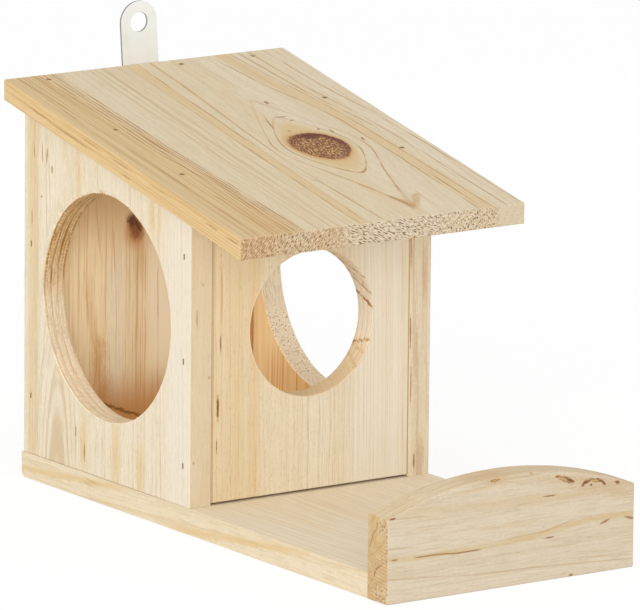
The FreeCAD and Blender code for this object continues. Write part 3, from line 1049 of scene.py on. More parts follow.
def back_wall_marks(coat, grain, radius):
    """The back wall, seen through the left entrance: a small dark knot with an amber tail, a
    clean strip beside it that painted light lifts, fine reddish lines, painted shade in its right
    corner, and painted shade that turns it reddish and darker near the floor."""
    look = colours()
    inner = grain.looking(FORWARD)
    # Painted light: honey and cream on the inner face stand in for the warm bounce light inside the
    # box.
    coat.blend(inner * 0.9, look.honey)
    coat.blend(inner * 0.15, look.cream)
    pale = grain.drawn.window(-25.0, -16.0, 2.0) * grain.along.fade(84.0, 104.0)
    coat.blend(pale * 0.4, look.cream)
    # Painted shade: the inner face turns dark and reddish towards its corner with the right wall.
    painted_corner_shade = grain.drawn.clear_step(36.0, 47.0)
    coat.stain(inner * painted_corner_shade * 0.75, look.rust)
    streak = grain.beside(((20, -27), (36, -28.8), (55, -30.8), (77, -34.6), (96, -33)))
    streak = streak.fade(0.5, 3.6) * grain.along.window(18.0, 84.0, 14.0) * (grain.rough + 0.9)
    coat.blend(streak.least(1.0) * 0.4, look.amber)
    swirl = grain.spots((
        (55, -28.2, 2.6, 2.6, 8), (47, -29.5, 9.0, 3.2, 4), (34, -26.5, 8, 3.4, 0)), 0.8, 1.4)
    coat.blend(swirl * 0.4, look.rust)
    reds = grain.seams(0.9, 0.50, 29.0, 130.0) * grain.drawn.window(-15.0, 1.0, 1.5)
    coat.blend(reds * 0.30, look.rust)
    fine = grain.noise(60.0, 0.7, 2.0, 37.0).clear_step(0.54, 0.66)
    coat.blend(inner * fine * grain.drawn.fade(-2.0, 3.0) * 0.4, look.amber)
    coat.shade((grain.noise(9.0, 0.6, 2.0, 62.0) - 0.5) * inner * 0.3 + 1.0)
    # A clean, lighter strip of the wood, made lighter still by painted light against the shade
    # inside the box.
    clean = inner * grain.drawn.clear_step(-12.0, 1.0) * grain.drawn.fade(30.0, 36.0)
    clean = clean * grain.along.clear_step(26.0, 50.0)
    coat.blend(clean * 0.8, look.honey)
    coat.blend(clean * 0.5, look.cream)
    coat.shade(clean * 0.12 + 1.0)
    lines = grain.strokes((
        ((24, -26.2), (114, -26.0)), ((30, -10.6), (92, -10.2)), ((24, -6.2), (92, -6.0)),
        ((22, 0.6), (86, 0.4)), ((84, -21.5), (104, -22.3)), ((30, -8.2), (70, -8.4)),
        ((88, -35.6), (118, -35.2)), ((60, -33.5), (88, -37.0)), ((94, -29), (118, -31)),
        ((30, -33.0), (50, -30.0), (66, -35.0))), 0.5)
    coat.stain(lines * 0.45, look.rust)
    # Painted shade and warm bounce light: the inner face turns reddish and darker towards the
    # floor.
    low = grain.along.fade(20.0, 46.0) * (grain.drawn.fade(2.0, 28.0) * 0.65 + 0.35)
    coat.blend(low * (inner * 0.85 + 0.05), look.rust)
    coat.stain(low * inner * 0.3, look.gold)
    coat.shade(low * inner * 0.07 + 1.0)
    coat.blend(grain.along.clear_step(84.0, 122.0) * (inner * 0.35 + 0.1), look.amber)
    tail = grain.reach(92.0, -8.6, 14.0, 4.0).fade(0.2, 1.3)
    coat.blend(inner * tail * 0.4, look.amber)
    glow = grain.reach(102.5, -11.5, 10.0, 6.4).fade(0.2, 1.1)
    coat.blend(inner * glow * 0.9, look.rust)
    near = (10.5, 9.0)
    knot = grain.spots(((103.8, -10.9, 5.2, 3.0, -14),), 0.6, 0.5, near)
    coat.blend(knot * 0.65, look.bark)
    core = grain.spots(((106.6, -13.2, 2.4, 2.0, 0), (105.0, -10.4, 4.0, 0.7, -30)), 0.6, 0.6, near)
    # Painted shade: a dark ragged line low on the inner face, standing in for the shade along the
    # floor.
    ragged = abs(grain.along + grain.drawn * 0.4 + grain.rough * 3.0 - 18.6).fade(0.3, 1.1)
    corner = inner * grain.drawn.window(-30.0, -6.0, 3.0)
    coat.stain(corner * ragged * 0.85, look.bark)
    coat.blend(knot * 0.25, look.ember)
    coat.blend(core * 0.85, look.pore)
    coat.height -= knot * 0.4


def roof_marks(coat, grain, radius):
    """The roof: golden wood with dark lines at the left, arched lines round its large knot,
    wavering lines at the right, rust and painted recess shade at the brads, and honey on its
    underside as painted light."""
    look, finish = colours(), coat.finish
    drift = grain.along * 0.045 + grain.flow
    warm = drift.fade(-46.0, -37.5)
    coat.blend(grain.spots(((13.0, -47.0, 16.0, 7.0, 0),), 0.8, 0.8) * 0.35, look.rust)
    coat.blend(grain.across.fade(-20.0, 40.0) * 0.12 + 0.16, look.gold)
    coat.blend(warm * 0.6, look.gold)
    coat.stain(warm * grain.seams(0.6, 0.50, 21.0, 150.0) * 0.5, look.seam)
    dense = drift.window(-43.5, -37.5, 1.0)
    coat.stain(dense * grain.seams(0.5, 0.52, 24.0, 110.0) * 0.3, look.seam)
    dark_lines = grain.strokes([
        ((0, -40.6 - gap), (60, -42.9 - gap * 0.8), (95, -45.2 - gap), (130, -45.6 - gap),
         (181, -47.0 - gap)) for gap in (-1.4, 0.4, 2.2, 4.4, 6.6)], 0.30, 5.0, 0.15)
    coat.stain(dark_lines * 0.95, look.bark)
    beige = grain.drawn.window(-34.0, -13.0, 3.0)
    coat.blend(beige * grain.seams(1.0, 0.50, 26.0) * 0.35, look.line)
    left_band = grain.beside(((0, -10.0), (100, -8.7), (181, -6.6))).fade(1.4, 3.8)
    right_band = grain.beside(((0, 51.5), (60, 51.2), (115, 48), (148, 41.5), (181, 37)))
    coat.blend(left_band.most(right_band.fade(1.6, 4.8)) * 0.45, look.gold)
    lines = grain.strokes((
        ((0, 0.5), (30, -1.2), (70, -2.8), (110, -1.2), (140, 1.3), (181, 2.4)),
        ((0, -11.8), (90, -11.2), (181, -9.8)), ((0, -8.0), (90, -6.6), (181, -4.2)),
        ((0, 47.4), (60, 47.6), (100, 46.8), (115, 44.7), (143, 37.2), (181, 31.2)),
        ((0, 54.6), (90, 52.4), (120, 50.0), (150, 45.5), (181, 42.0)),
        ((0, 61.3), (65, 60.5), (102, 58.8), (137, 53.8), (181, 51.8)),
        ((0, 69.3), (65, 68.0), (107, 65.5), (138, 61.3), (181, 59.0)),
        ((90, 57.5), (130, 50.5), (181, 46.5)), ((0, 49.4), (50, 49.8)),
        ((0, -60.4), (110, -61.5), (181, -64.0)), ((0, -53.2), (45, -54.5)),
        ((130, -65.0), (156, -64.6)), ((80, -46.5), (112, -47.4))), 0.5)
    coat.stain(lines * 0.7, look.seam)
    from_knot = grain.along - ROOF_KNOT[0]
    first = abs(radius - 16.5 - from_knot * 0.0213).fade(0.05, 0.55)
    second = abs(radius - 21.35 + from_knot * 0.0103).fade(0.05, 0.55)
    loops = first.most(second * 0.85) * abs(grain.across - ROOF_KNOT[1]).fade(21.5, 24.0)
    loops = loops * abs(from_knot).fade(70.0, 82.0)
    loops = loops * (grain.noise(16.0, 7.0, 2.0, 33.0).clear_step(0.36, 0.58) * 0.6 + 0.4)
    loops = loops * (from_knot.fade(4.0, 34.0) * 0.6 + 0.4)
    coat.stain(loops * 0.8, look.seam)
    heartwood = radius.fade(12.0, 17.5) * abs(from_knot).fade(30.0, 42.0)
    coat.blend(heartwood * 0.7, look.gold)
    gold = grain.spots((
        (15.5, 26.4, 7.5, 1.5, 40), (12.0, 23.0, 3.0, 1.8, 40),
        (20.0, 29.5, 3.0, 1.6, 60)), 0.7, 1.2)
    coat.blend(gold * 0.6, look.amber)
    brown = grain.spots((
        (126.3, 26.3, 1.6, 0.8, 0), (80, 43.8, 1.4, 0.6, 20), (94.5, 31.3, 0.7, 0.7, 0),
        (106, 14.0, 6.0, 0.3, 16), (110.5, 23.5, 0.4, 2.2, 0), (106, 25.5, 0.5, 0.9, 0),
        (96, 17.5, 0.9, 0.5, 0), (91, 35.6, 2.0, 0.4, 0)), 0.5, 0.6)
    coat.stain(brown * 0.8, look.bark)
    # Painted shade and rust: dark marks round the brad heads on the roof's top.
    recess_shade_and_rust = brad_stains_and_shade(grain, brad_seats["roof_brads"], 1.0, 1.2)
    coat.stain(recess_shade_and_rust * grain.looking(UP) * 0.85, look.ember)
    # Painted light: honey on the underside stands in for the warm bounce light under the roof.
    coat.blend(grain.looking(DOWN_ROOF) * 0.8, look.honey)
    side = grain.looking(LEFT)
    coat.blend(side * 0.40, look.gold)
    deep = finish.noise(grain.place * (0.009, 0.0, 1.3), 1.0, 2.0)
    coat.blend(side * deep.clear_step(0.50, 0.64) * 0.3, look.amber)
    dashes = grain.side_spots((
        (111, 2.6, 7.5, 0.3), (88, 2.7, 9.0, 0.3), (128, 5.2, 18.0, 0.35), (84, 6.3, 3.5, 0.3),
        (21, 2.8, 5.0, 0.35), (5.5, 3.0, 4.5, 0.4), (60, 2.6, 8.0, 0.2), (150, 4.6, 10.0, 0.3)))
    coat.stain(side * dashes * 0.6, look.bark)
    coat.height -= brown * 0.4
    round_knot(coat, grain, ROOF_KNOT, half_length=14.0, half_width=12.3, taper=0.009)


def base_marks(coat, grain, radius):
    """The base: cream wood on top with golden bands, the top lifted by painted light, and curved
    grain on its left side, which gold darkens as painted shade.
    """
    look = colours()
    bands = grain.beside(((0, -32.5), (254, -31.5))).fade(1.0, 4.0).most(
        grain.beside(((0, -6.0), (254, -7.5))).fade(0.3, 1.2))
    coat.blend(bands * 0.3, look.gold)
    # The top is lighter than the sides: partly creamier wood, partly painted light from above.
    top = grain.looking(UP)
    coat.blend(top * 0.6, look.cream)
    coat.blend(top * 0.12, look.honey)
    coat.blend(top * grain.seams(1.6, 0.46, 51.0, 60.0) * 0.3, look.ochre)
    coat.shade(top * 0.07 + 1.0)
    # Painted shade: the left side is darkened with gold against the light from the left.
    side = grain.looking(LEFT)
    coat.blend(side * 0.2, look.gold)
    rising = 0.0
    for start, end, deep_start, deep_end in ((141.0, 45.0, 10.5, 1.5), (275.0, 175.0, 8.8, 1.0)):
        slope = (deep_end - deep_start) / (end - start)
        away = grain.depth - (deep_start - start * slope) - grain.along * slope
        away = abs(away + grain.rough * 2.5)
        rising = (away.fade(0.5, 2.2) * grain.along.window(end, start, 14.0)).most(rising)
    coat.blend(side * rising * 0.6, look.gold)
    swirl = grain.reach(201.0, 0.0, 7.0, 1000.0, 0.0, (3.5, 2.6)).fade(0.3, 1.2)
    ripple = (grain.depth * 3.0 + grain.along * 0.5 + grain.rough * 7.0).wave() * 0.5 + 0.5
    coat.blend(side * swirl * ripple * 0.5, look.line)


def lip_marks(coat, grain, radius):
    """The lip: a golden streak and fine lines, dark galleries and dashes on the front, and dark
    streaks along its top, which painted light makes lighter."""
    look, finish = colours(), coat.finish
    front = grain.looking(FORWARD)
    gold = grain.strokes((
        ((-62, 17.9), (-20, 18.2), (8, 18.8), (35, 22.4), (62, 22.8)),), 1.8, 4.0, 0.6)
    faint = grain.strokes((
        ((-50, 36.5), (-20, 35.4), (8, 34.7), (40, 33.0)), ((-30, 42.2), (12, 42.6), (40, 39.8)),
        ((-20, 26.0), (10, 25.2))), 2.2, 6.0, 0.4)
    coat.blend(gold.most(faint * 0.5) * 0.6, look.gold)
    high = grain.spots((
        (39.5, 37.6, 22.0, 3.0, -10), (-9.0, 45.0, 9.0, 2.0, 0),
        (51.0, 33.0, 9.0, 2.0, -14)), 0.9, 0.6)
    coat.blend(high * 0.30, look.amber)
    lines = grain.strokes((
        ((-62, 10.6), (-45, 9.4), (-20, 7.3), (20, 6.0), (62, 3.7)), ((-50, 34.6), (-40, 33.8)),
        ((-62, 22.8), (-50, 22.6)), ((-4, 19.6), (16, 20.6), (30, 23.5)), ((30, 8.0), (62, 5.6)),
        ((-10, 46.4), (2, 46.3)), ((-20, 43.8), (10, 44.6))), 0.5)
    coat.blend(lines * 0.5, look.line)
    streak = grain.strokes((
        ((-47.5, 18.1), (-38, 17.9), (-28, 17.1), (-15.5, 17.3)),), 0.5, 2.0, 0.9)
    tracks = grain.spots((
        (26.6, 40.6, 4.4, 1.1, -22), (22.6, 42.2, 1.6, 0.5, -14), (36.8, 38.4, 2.2, 0.8, 16),
        (41.8, 38.5, 3.2, 0.8, -10), (45.2, 37.2, 1.4, 0.6, -50), (35.0, 37.2, 0.7, 0.5, 0),
        (39.2, 36.8, 0.6, 0.4, 0), (-8.6, 44.6, 2.4, 0.7, 6),
        (52.2, 36.3, 1.2, 0.6, -14)), 0.35, 0.9)
    fill = grain.spots((
        (25.4, 40.9, 3.0, 0.55, -22), (41.4, 38.4, 2.5, 0.4, -8),
        (-8.6, 44.6, 1.7, 0.4, 6)), 0.5, 0.6)
    dashes = grain.spots((
        (18.4, 34.9, 3.0, 0.32, -2), (18.6, 17.7, 2.4, 0.35, 0), (46.2, 20.8, 2.4, 0.5, 18),
        (58.6, 20.9, 2.6, 0.5, -16), (-58.8, 35.2, 1.6, 0.5, 0), (-57.5, 18.2, 1.6, 0.3, 0),
        (9.2, 45.8, 1.0, 0.8, 0), (29.6, 0.6, 1.0, 0.8, 0)), 0.45, 0.4)
    dark = tracks.most(streak * 0.85).most(dashes * 0.85)
    coat.stain(dark * front * 0.82, look.bark)
    coat.blend(fill * front * 0.75, look.gold)
    core = grain.spots((
        (28.4, 40.0, 1.6, 0.5, -22), (43.6, 38.0, 1.4, 0.4, -30), (36.0, 38.1, 1.2, 0.35, 20),
        (-59.0, 35.2, 1.2, 0.3, 0)), 0.5, 0.8)
    coat.blend(core * front * 0.7, look.pore)
    coat.blend(0.08, look.rust)
    top = grain.looking(UP)
    coat.blend(top * 0.2, look.gold)
    where = finish.vector(grain.along / 30.0, grain.depth / 1.3, grain.seed)
    streaks = finish.noise(where, 1.0, 2.0)
    coat.blend(top * streaks.clear_step(0.50, 0.60) * 0.35, look.line)
    coat.stain(top * streaks.window(0.40, 0.41, 0.012) * 0.5, look.seam)
    # Painted light: the top is made lighter, as it faces up.
    coat.shade(top * 0.12 + 1.0)
    coat.height -= dark * 1.5


def lip_end_marks(coat, grain):
    """The lip's ends: golden wood with nested arcs, a dark hook, cavities and pale tufts."""
    look, finish = colours(), coat.finish
    up, depth = grain.across, grain.depth
    near = grain.rough * 2.0 + depth
    coat.blend(0.6, look.gold)
    coat.shade(1.10)
    bow = ((up - 30.0) ** 2.0 + (depth - 2.0) ** 2.0).root() + grain.rough * 1.6
    arcs = (bow * 4.4).wave().clear_step(0.1, 1.0) * up.fade(24.0, 29.0)
    coat.stain(arcs * 0.5, look.seam)
    shaded = (bow * 0.9).wave() * 0.5 + 0.5
    coat.blend(shaded * 0.4, look.amber)
    bends = (((4.2, 14.0), (10.5, 8.9)), ((10.5, 8.9), (12.5, 8.3), (14.6, 6.2), (16.0, 3.4)),
             ((21.5, 12.4), (27.0, 10.2), (30.0, 7.6), (33.0, 7.2)))
    for points, dark in zip(bends, (0.5, 0.95, 0.7)):
        line = grain.beside(points, up, near).fade(0.2, 0.8)
        line = line * up.window(points[0][0], points[-1][0], 0.8)
        coat.stain(line * dark, look.seam)
    rough_part = (up.clear_step(27.0, 29.0) * depth.fade(5.0, 8.0)).most(
        up.fade(6.0, 9.0) * depth.fade(7.0, 10.0))
    tufts = finish.noise(grain.place * (0.2, 0.8, 1.0), 1.0, 3.0, 0.6)
    coat.blend(rough_part * tufts.clear_step(0.52, 0.62) * 0.6, look.cream)
    coat.stain(rough_part * tufts.fade(0.38, 0.46) * 0.7, look.bark)
    dots = finish.noise(grain.place * (0.2, 1.3, 1.0), 0.8, 1.0).fade(0.38, 0.44)
    dots = dots * near.window(0.4, 1.1, 0.3) * up.window(15.0, 32.0, 3.0)
    coat.stain(dots * 0.95, look.pore)


def roof_end_marks(coat, grain):
    """The roof's sawn ends: orange-brown at the left, crossed strokes, slanting rows of pores
    in the middle, scattered larger pores, then clean wood."""
    look, finish = colours(), coat.finish
    across, depth = grain.across, grain.depth
    wavering = grain.rough * 12.0 + across
    rows = finish.noise(finish.vector(across / 1.8, (depth - across * 0.38) / 0.52, 7.0), 1.0, 1.0)
    rising, falling = across + depth, across - depth
    hatch = finish.noise(finish.vector(rising / 0.6, falling / 2.4, 3.0), 1.0, 1.0)
    cross = finish.noise(finish.vector(falling / 0.6, rising / 2.4, 9.0), 1.0, 1.0)
    dots = finish.noise(finish.vector(across, depth, 5.0), 0.85, 1.0)
    coat.blend(0.25, look.pale)
    coat.blend(wavering.fade(-62.0, -42.0) * 0.6, look.rust)
    coat.blend(wavering.window(-38.0, -20.0, 5.0) * 0.3, look.rust)
    left = wavering.fade(-26.0, -12.0)
    coat.stain(left * hatch.fade(0.37, 0.44), look.pore)
    coat.stain(left * cross.fade(0.36, 0.43) * 0.7, look.seam)
    coat.blend(left * hatch.clear_step(0.55, 0.62) * 0.7, look.pale)
    middle = wavering.window(-22.0, 30.0, 7.0)
    coat.blend(middle * (rows.clear_step(0.55, 0.62) * 0.5 + 0.2), look.cream)
    coat.stain(middle * rows.fade(0.38, 0.45), look.pore)
    right = wavering.clear_step(14.0, 28.0)
    coat.blend(right * dots.clear_step(0.55, 0.62) * 0.6, look.cream)
    coat.stain(right * dots.fade(0.35, 0.40), look.pore)
    plain = across.clear_step(55.0, 59.0)
    coat.blend(plain * 0.75, look.end)
    coat.blend(plain * 0.4, look.pale)


LEFT_WALL = {
    "marks": left_wall_marks, "seed": 3.0, "start": (-60 * MM, 0, 0),
    "grain": UP, "across": BACK, "depth": RIGHT, "inside": RIGHT,
    "pith": (106.4, 5.0), "taper": 0.12, "ring": 2.9, "wander": 2.0,
    "contrast": 0.26, "ochre": 0.26, "rusty": 0.03, "pores": 0.2, "sawn": 0.2,
}
RIGHT_WALL = {
    "marks": right_wall_marks, "seed": 14.0, "start": (60 * MM, 0, 0),
    "grain": UP, "across": BACK, "depth": LEFT, "inside": LEFT,
    "pith": (40.0, 26.0), "taper": 0.05, "ring": 3.6,
    "contrast": 0.35, "ochre": 0.40, "rusty": 0.05, "pores": 0.4, "sawn": 0.12,
}
FRONT_WALL = {
    "marks": front_wall_marks, "seed": 21.0, "start": (0, 7 * MM, 0),
    "grain": UP, "across": RIGHT, "depth": BACK, "inside": BACK, "light": 0.885,
    "pith": (-120.0, 60.0), "taper": 0.02, "ring": 2.3, "wander": 2.0,
    "contrast": 0.34, "ochre": 0.35, "rusty": 0.05, "pores": 0.2, "sawn": 0.2,
}
BACK_WALL = {
    "marks": back_wall_marks, "seed": 33.0, "start": (0, 132 * MM, 0),
    "grain": UP, "across": RIGHT, "depth": FORWARD, "inside": FORWARD,
    "pith": (80.0, 50.0), "taper": 0.03, "ring": 3.8, "wander": 3.0,
    "contrast": 0.35, "ochre": 0.45, "rusty": 0.08,
}
ROOF = {
    "marks": roof_marks, "end_marks": roof_end_marks, "seed": 42.0,
    "start": (0, -44 * MM, 133.86 * MM),
    "grain": UP_ROOF, "across": RIGHT, "depth": DOWN_ROOF, "inside": DOWN_ROOF,
    "pith": (21.0, -23.0), "roundness": 1.6, "ring": 3.3, "wander": 2.0, "unequal": 5.0,
    "contrast": 0.42, "clear_heart": 23.5, "ochre": 0.35, "rusty": 0.06, "pores": 0.35,
    "knots": ({"along": ROOF_KNOT[0], "across": ROOF_KNOT[1], "core": 9.0,
               "flow_length": 19.2, "flow_width": 60.0},),
}
BASE = {
    "marks": base_marks, "seed": 57.0, "start": (0, -121 * MM, 11 * MM),
    "grain": BACK, "across": RIGHT, "depth": (0, 0, -1),
    "pith": (-70.0, 18.0), "taper": 0.05, "ring": 5.0, "fibre_width": 0.8,
    "contrast": 0.22, "ochre": 0.30, "rusty": 0.03, "pores": 0.35, "sawn": 0.7,
}
LIP = {
    "marks": lip_marks, "end_marks": lip_end_marks, "seed": 64.0, "start": (0, -135 * MM, 0),
    # light: partly the lip's own darker wood, partly painted shade that darkens its front face
    # against the strong frontal light.
    "grain": RIGHT, "across": UP, "depth": BACK, "light": 0.755,
    "pith": (50.0, 30.0), "taper": 0.04, "ring": 6.0, "wander": 2.0, "fibre_width": 0.7,
    "contrast": 0.22, "ochre": 0.30, "rusty": 0.06, "pores": 0.35,
}


def wall_outline(node, across_axis):
    """Corners (across, height) of an upright board's outer face, anticlockwise, in metres."""
    low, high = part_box(node)
    fall = math.tan(sizes().roof_pitch) * (high.y - low.y)
    if across_axis == 1:
        return [(low.y, low.z), (high.y, low.z), (high.y, high.z), (low.y, high.z - fall)]
    return [(low.x, low.z), (high.x, low.z), (high.x, high.z), (low.x, high.z)]


def clumps_round(angle, seed):
    """0 to 1 in clumps round an entrance, where more fibres stand up."""
    where = (math.cos(angle) * 60 * MM, math.sin(angle) * 60 * MM, 0.0)
    return 0.15 + 0.85 * rise(unevenness(where, 7 * MM, seed + 9), -0.25, 0.35)


def sawn_rim(seed, groove_depth, torn, tear):
    """How much a hole saw took off the wall of an entrance: rings of grooves and torn fibres."""
    def rim(angle, depth):
        millimetres = depth / MM
        wave = 0.5 + 0.5 * math.sin(millimetres * 2.1 + seed + 0.8 * math.sin(angle * 2 + seed))
        across, up = math.cos(angle) * 30 * MM, math.sin(angle) * 30 * MM
        rough = 0.5 + 0.5 * unevenness((across, up, depth), 2.2 * MM, seed)
        zone = torn(angle)
        grooves = wave ** 3 * (0.35 + 0.65 * zone) + 0.35 * rough
        fibres = max(0.0, unevenness((across * 2, up * 2, 0.0), 1.1 * MM, seed + 5)) * zone
        near_face = 1 - rise(millimetres, 0.0, 2.5)
        far_face = 0.35 * rise(millimetres, 8.0, 10.5)
        torn_off = tear * fibres * clumps_round(angle, seed) * (near_face + far_face)
        return groove_depth * grooves + torn_off
    return rim


def torn_face(seed, torn, tear):
    """How deep the outer face is torn beside the rim."""
    def chip(angle, away):
        zone = torn(angle)
        if zone <= 0:
            return 0.0
        where = (math.cos(angle) * 60 * MM, math.sin(angle) * 60 * MM, away)
        rough = max(0.0, 0.3 + unevenness(where, 2.0 * MM, seed)) * clumps_round(angle, seed)
        return 0.6 * tear * zone * rough * (1 - rise(away, 0.3 * MM, 2.4 * MM))
    return chip


def no_chip(angle, away):
    """A clean outer face beside the rim."""
    return 0.0


class FEEDER_OT_side_walls(bpy.types.Operator):
    """Make both side walls with their large sawn entrances"""
    bl_idname = "feeder.side_walls"
    bl_label = "Side walls"

    def execute(self, context):
        look = sizes()

        def torn_left(angle):
            return max(angle_window(angle, 62, 30, 30), 0.35 * angle_window(angle, 262, 18, 14))

        def torn_right(angle):
            return 0.5 * angle_window(angle, 250, 40, 40)

        for node, side, finish, torn in (
                ("left_wall", -1, wood("Left wall wood", LEFT_WALL), torn_left),
                ("right_wall", 1, wood("Right wall wood", RIGHT_WALL), torn_right)):
            low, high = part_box(node)
            outline = wall_outline(node, 1)
            centre = ((low.y + high.y) / 2, low.z + look.side_hole_height)
            outer_x = low.x if side < 0 else high.x

            def place(u, v, depth):
                return (outer_x - side * depth, u, v)
            rim = sawn_rim(2.0 + side, look.groove_depth, torn, look.torn_depth)
            piece = holed_board(node + "_wood", outline, outline, centre,
                                look.side_hole_diameter / 2, high.x - low.x, place, rim,
                                torn_face(4.0, torn, look.torn_depth), 720)
            cut_slots(piece)
            dress(piece, node, node, finish)
        return {"FINISHED"}


class FEEDER_OT_front_wall(bpy.types.Operator):
    """Make the front wall with its smaller entrance"""
    bl_idname = "feeder.front_wall"
    bl_label = "Front wall"

    def execute(self, context):
        look = sizes()
        low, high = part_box("front_wall")
        floor_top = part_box("base_board")[1].z
        fall = math.tan(look.roof_pitch) * (high.y - low.y)
        back = wall_outline("front_wall", 0)
        front = [(u, v - fall if v > low.z else v) for u, v in back]
        centre = ((low.x + high.x) / 2, floor_top + look.front_hole_height)

        def torn(angle):
            return 0.4 * angle_window(angle, 265, 35, 30)

        def place(u, v, depth):
            return (u, low.y + depth, v)
        rim = sawn_rim(7.0, 0.10 * MM, torn, 0.3 * MM)
        piece = holed_board("front_wall_wood", front, back, centre, look.front_hole_diameter / 2,
                            high.y - low.y, place, rim, no_chip, 360)
        cut_slots(piece)
        dress(piece, "front_wall", "front_wall", wood("Front wall wood", FRONT_WALL))
        return {"FINISHED"}


class FEEDER_OT_back_wall(bpy.types.Operator):
    """Make the back wall"""
    bl_idname = "feeder.back_wall"
    bl_label = "Back wall"

    def execute(self, context):
        low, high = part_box("back_wall")
        piece = planed_board("back_wall_wood", wall_outline("back_wall", 1), seen_from_side,
                             low.x, high.x, sizes().wall_ease, UP, 4 * MM)
        cut_slots(piece, screws=True)
        dress(piece, "back_wall", "back_wall", wood("Back wall wood", BACK_WALL))
        return {"FINISHED"}


class FEEDER_OT_roof_board(bpy.types.Operator):
    """Make the sloping roof board"""
    bl_idname = "feeder.roof_board"
    bl_label = "Roof board"

    def execute(self, context):
        low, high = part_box("roof_board")
        fall = math.tan(sizes().roof_pitch) * (high.y - low.y)
        plumb = high.z - low.z - fall
        outline = [(low.y, low.z), (high.y, high.z - plumb),
                   (high.y, high.z), (low.y, low.z + plumb)]
        piece = planed_board("roof_board_wood", outline, seen_from_side, low.x, high.x,
                             sizes().roof_ease, UP_ROOF, 3 * MM)
        cut_slots(piece)
        dress(piece, "roof_board", "roof_board", wood("Roof wood", ROOF))
        return {"FINISHED"}


class FEEDER_OT_base_board(bpy.types.Operator):
    """Make the floor board and feeding deck"""
    bl_idname = "feeder.base_board"
    bl_label = "Base board"

    def execute(self, context):
        low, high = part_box("base_board")
        outline = [(low.y, low.z), (high.y, low.z), (high.y, high.z), (low.y, high.z)]

        def back_bottom(middle):
            return middle.y > high.y - MM and middle.z < low.z + MM
        piece = planed_board("base_board_wood", outline, seen_from_side, low.x, high.x,
                             sizes().wall_ease, BACK, 4 * MM,
                             ((back_bottom, sizes().base_rear_round),))
        cut_slots(piece)
        dress(piece, "base_board", "base_board", wood("Base wood", BASE))
        return {"FINISHED"}


class FEEDER_OT_front_lip(bpy.types.Operator):
    """Make the lip board with its arched top"""
    bl_idname = "feeder.front_lip"
    bl_label = "Front lip"

    def execute(self, context):
        low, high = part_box("front_lip")
        half = (high.x - low.x) / 2
        crown = high.z - low.z - sizes().lip_shoulder
        radius = (half * half + crown * crown) / (2 * crown)
        reach = math.asin(half / radius)
        steps = 72
        outline = [(low.x, low.z), (high.x, low.z)]
        for step in range(steps + 1):
            turn = reach - 2 * reach * step / steps
            outline.append((radius * math.sin(turn), high.z - radius + radius * math.cos(turn)))
        piece = planed_board("front_lip_wood", outline, seen_from_front, low.y, high.y,
                             sizes().lip_ease, RIGHT, 3 * MM)
        cut_slots(piece)
        dress(piece, "front_lip", "front_lip", wood("Lip wood", LIP))
        return {"FINISHED"}


# Steel

def plated_steel(name, tone, roughness, grime, shaded_top=None, flat=None):
    """Plated steel with fine scratches and a little dull grime. Its tone for faces that look up
    is painted shade, which darkens the sunk heads of the roof's brads. flat is the way a plate
    faces, for a darker sheared edge."""
    finish = Finish(name, 0.5)
    place = finish.node("ShaderNodeTexCoord", {}, {}, "Object")
    millimetres = place * (1 / MM)
    scratch = finish.noise(millimetres * (4.0, 4.0, 0.25), 1.0, 3.0, 0.7)
    cloud = finish.noise(millimetres, 7.0, 3.0, 0.6)
    speck = finish.noise(millimetres, 0.6, 2.0, 0.6)
    dull = cloud.clear_step(0.45, 0.75)
    shade = finish.blend(dull * grime, tone, tuple(c * 0.55 for c in tone))
    shade = finish.blend(speck.clear_step(0.66, 0.78) * grime, shade, (0.25, 0.21, 0.17))
    facing = finish.node("ShaderNodeTexCoord", {}, {}, "Normal")
    # Painted shade: faces that look up take the darker tone.
    if shaded_top is not None:
        shade = finish.blend(facing.dot(UP).clear_step(0.5, 0.9) * 0.9, shade, shaded_top)
    if flat is not None:
        sheared = abs(facing.dot(flat)).fade(0.35, 0.8)
        shade = finish.blend(sheared * 0.85, shade, tuple(c * 0.22 for c in tone))
    finish.feed("Base Color", shade)
    finish.feed("Metallic", 1.0 - dull * grime * 0.5)
    finish.feed("Roughness", roughness + (scratch - 0.5) * 0.16 + dull * 0.14)
    finish.relief(scratch * 0.6 + cloud * 0.4, 0.02 * MM, 0.5)
    return finish.material


def closed_copy(node):
    """A node's mesh with its loose triangles joined, and flat areas made whole faces again."""
    bm = bmesh.new()
    bm.from_mesh(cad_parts[node].data)
    bmesh.ops.remove_doubles(bm, verts=bm.verts, dist=SAME_CAD_POINT)
    bmesh.ops.dissolve_limit(bm, angle_limit=math.radians(0.5), verts=bm.verts, edges=bm.edges)
    return bm


class FEEDER_OT_hanger_plate(bpy.types.Operator):
    """Make the plated steel hanger with its eye"""
    bl_idname = "feeder.hanger_plate"
    bl_label = "Hanger plate"

    def execute(self, context):
        bm = closed_copy("hanger_plate")
        bmesh.ops.bevel(bm, geom=sharp_edges(bm, 40), offset=0.18 * MM, segments=2, profile=0.5,
                        affect="EDGES", clamp_overlap=True)
        piece = new_piece("hanger_plate_steel", bm)
        dress(piece, "hanger_plate", "hanger_plate",
              plated_steel("Plated steel", srgb(244, 245, 241), 0.42, 0.13, flat=BACK))
        return {"FINISHED"}


SCREW_HEAD = 1.8 * MM


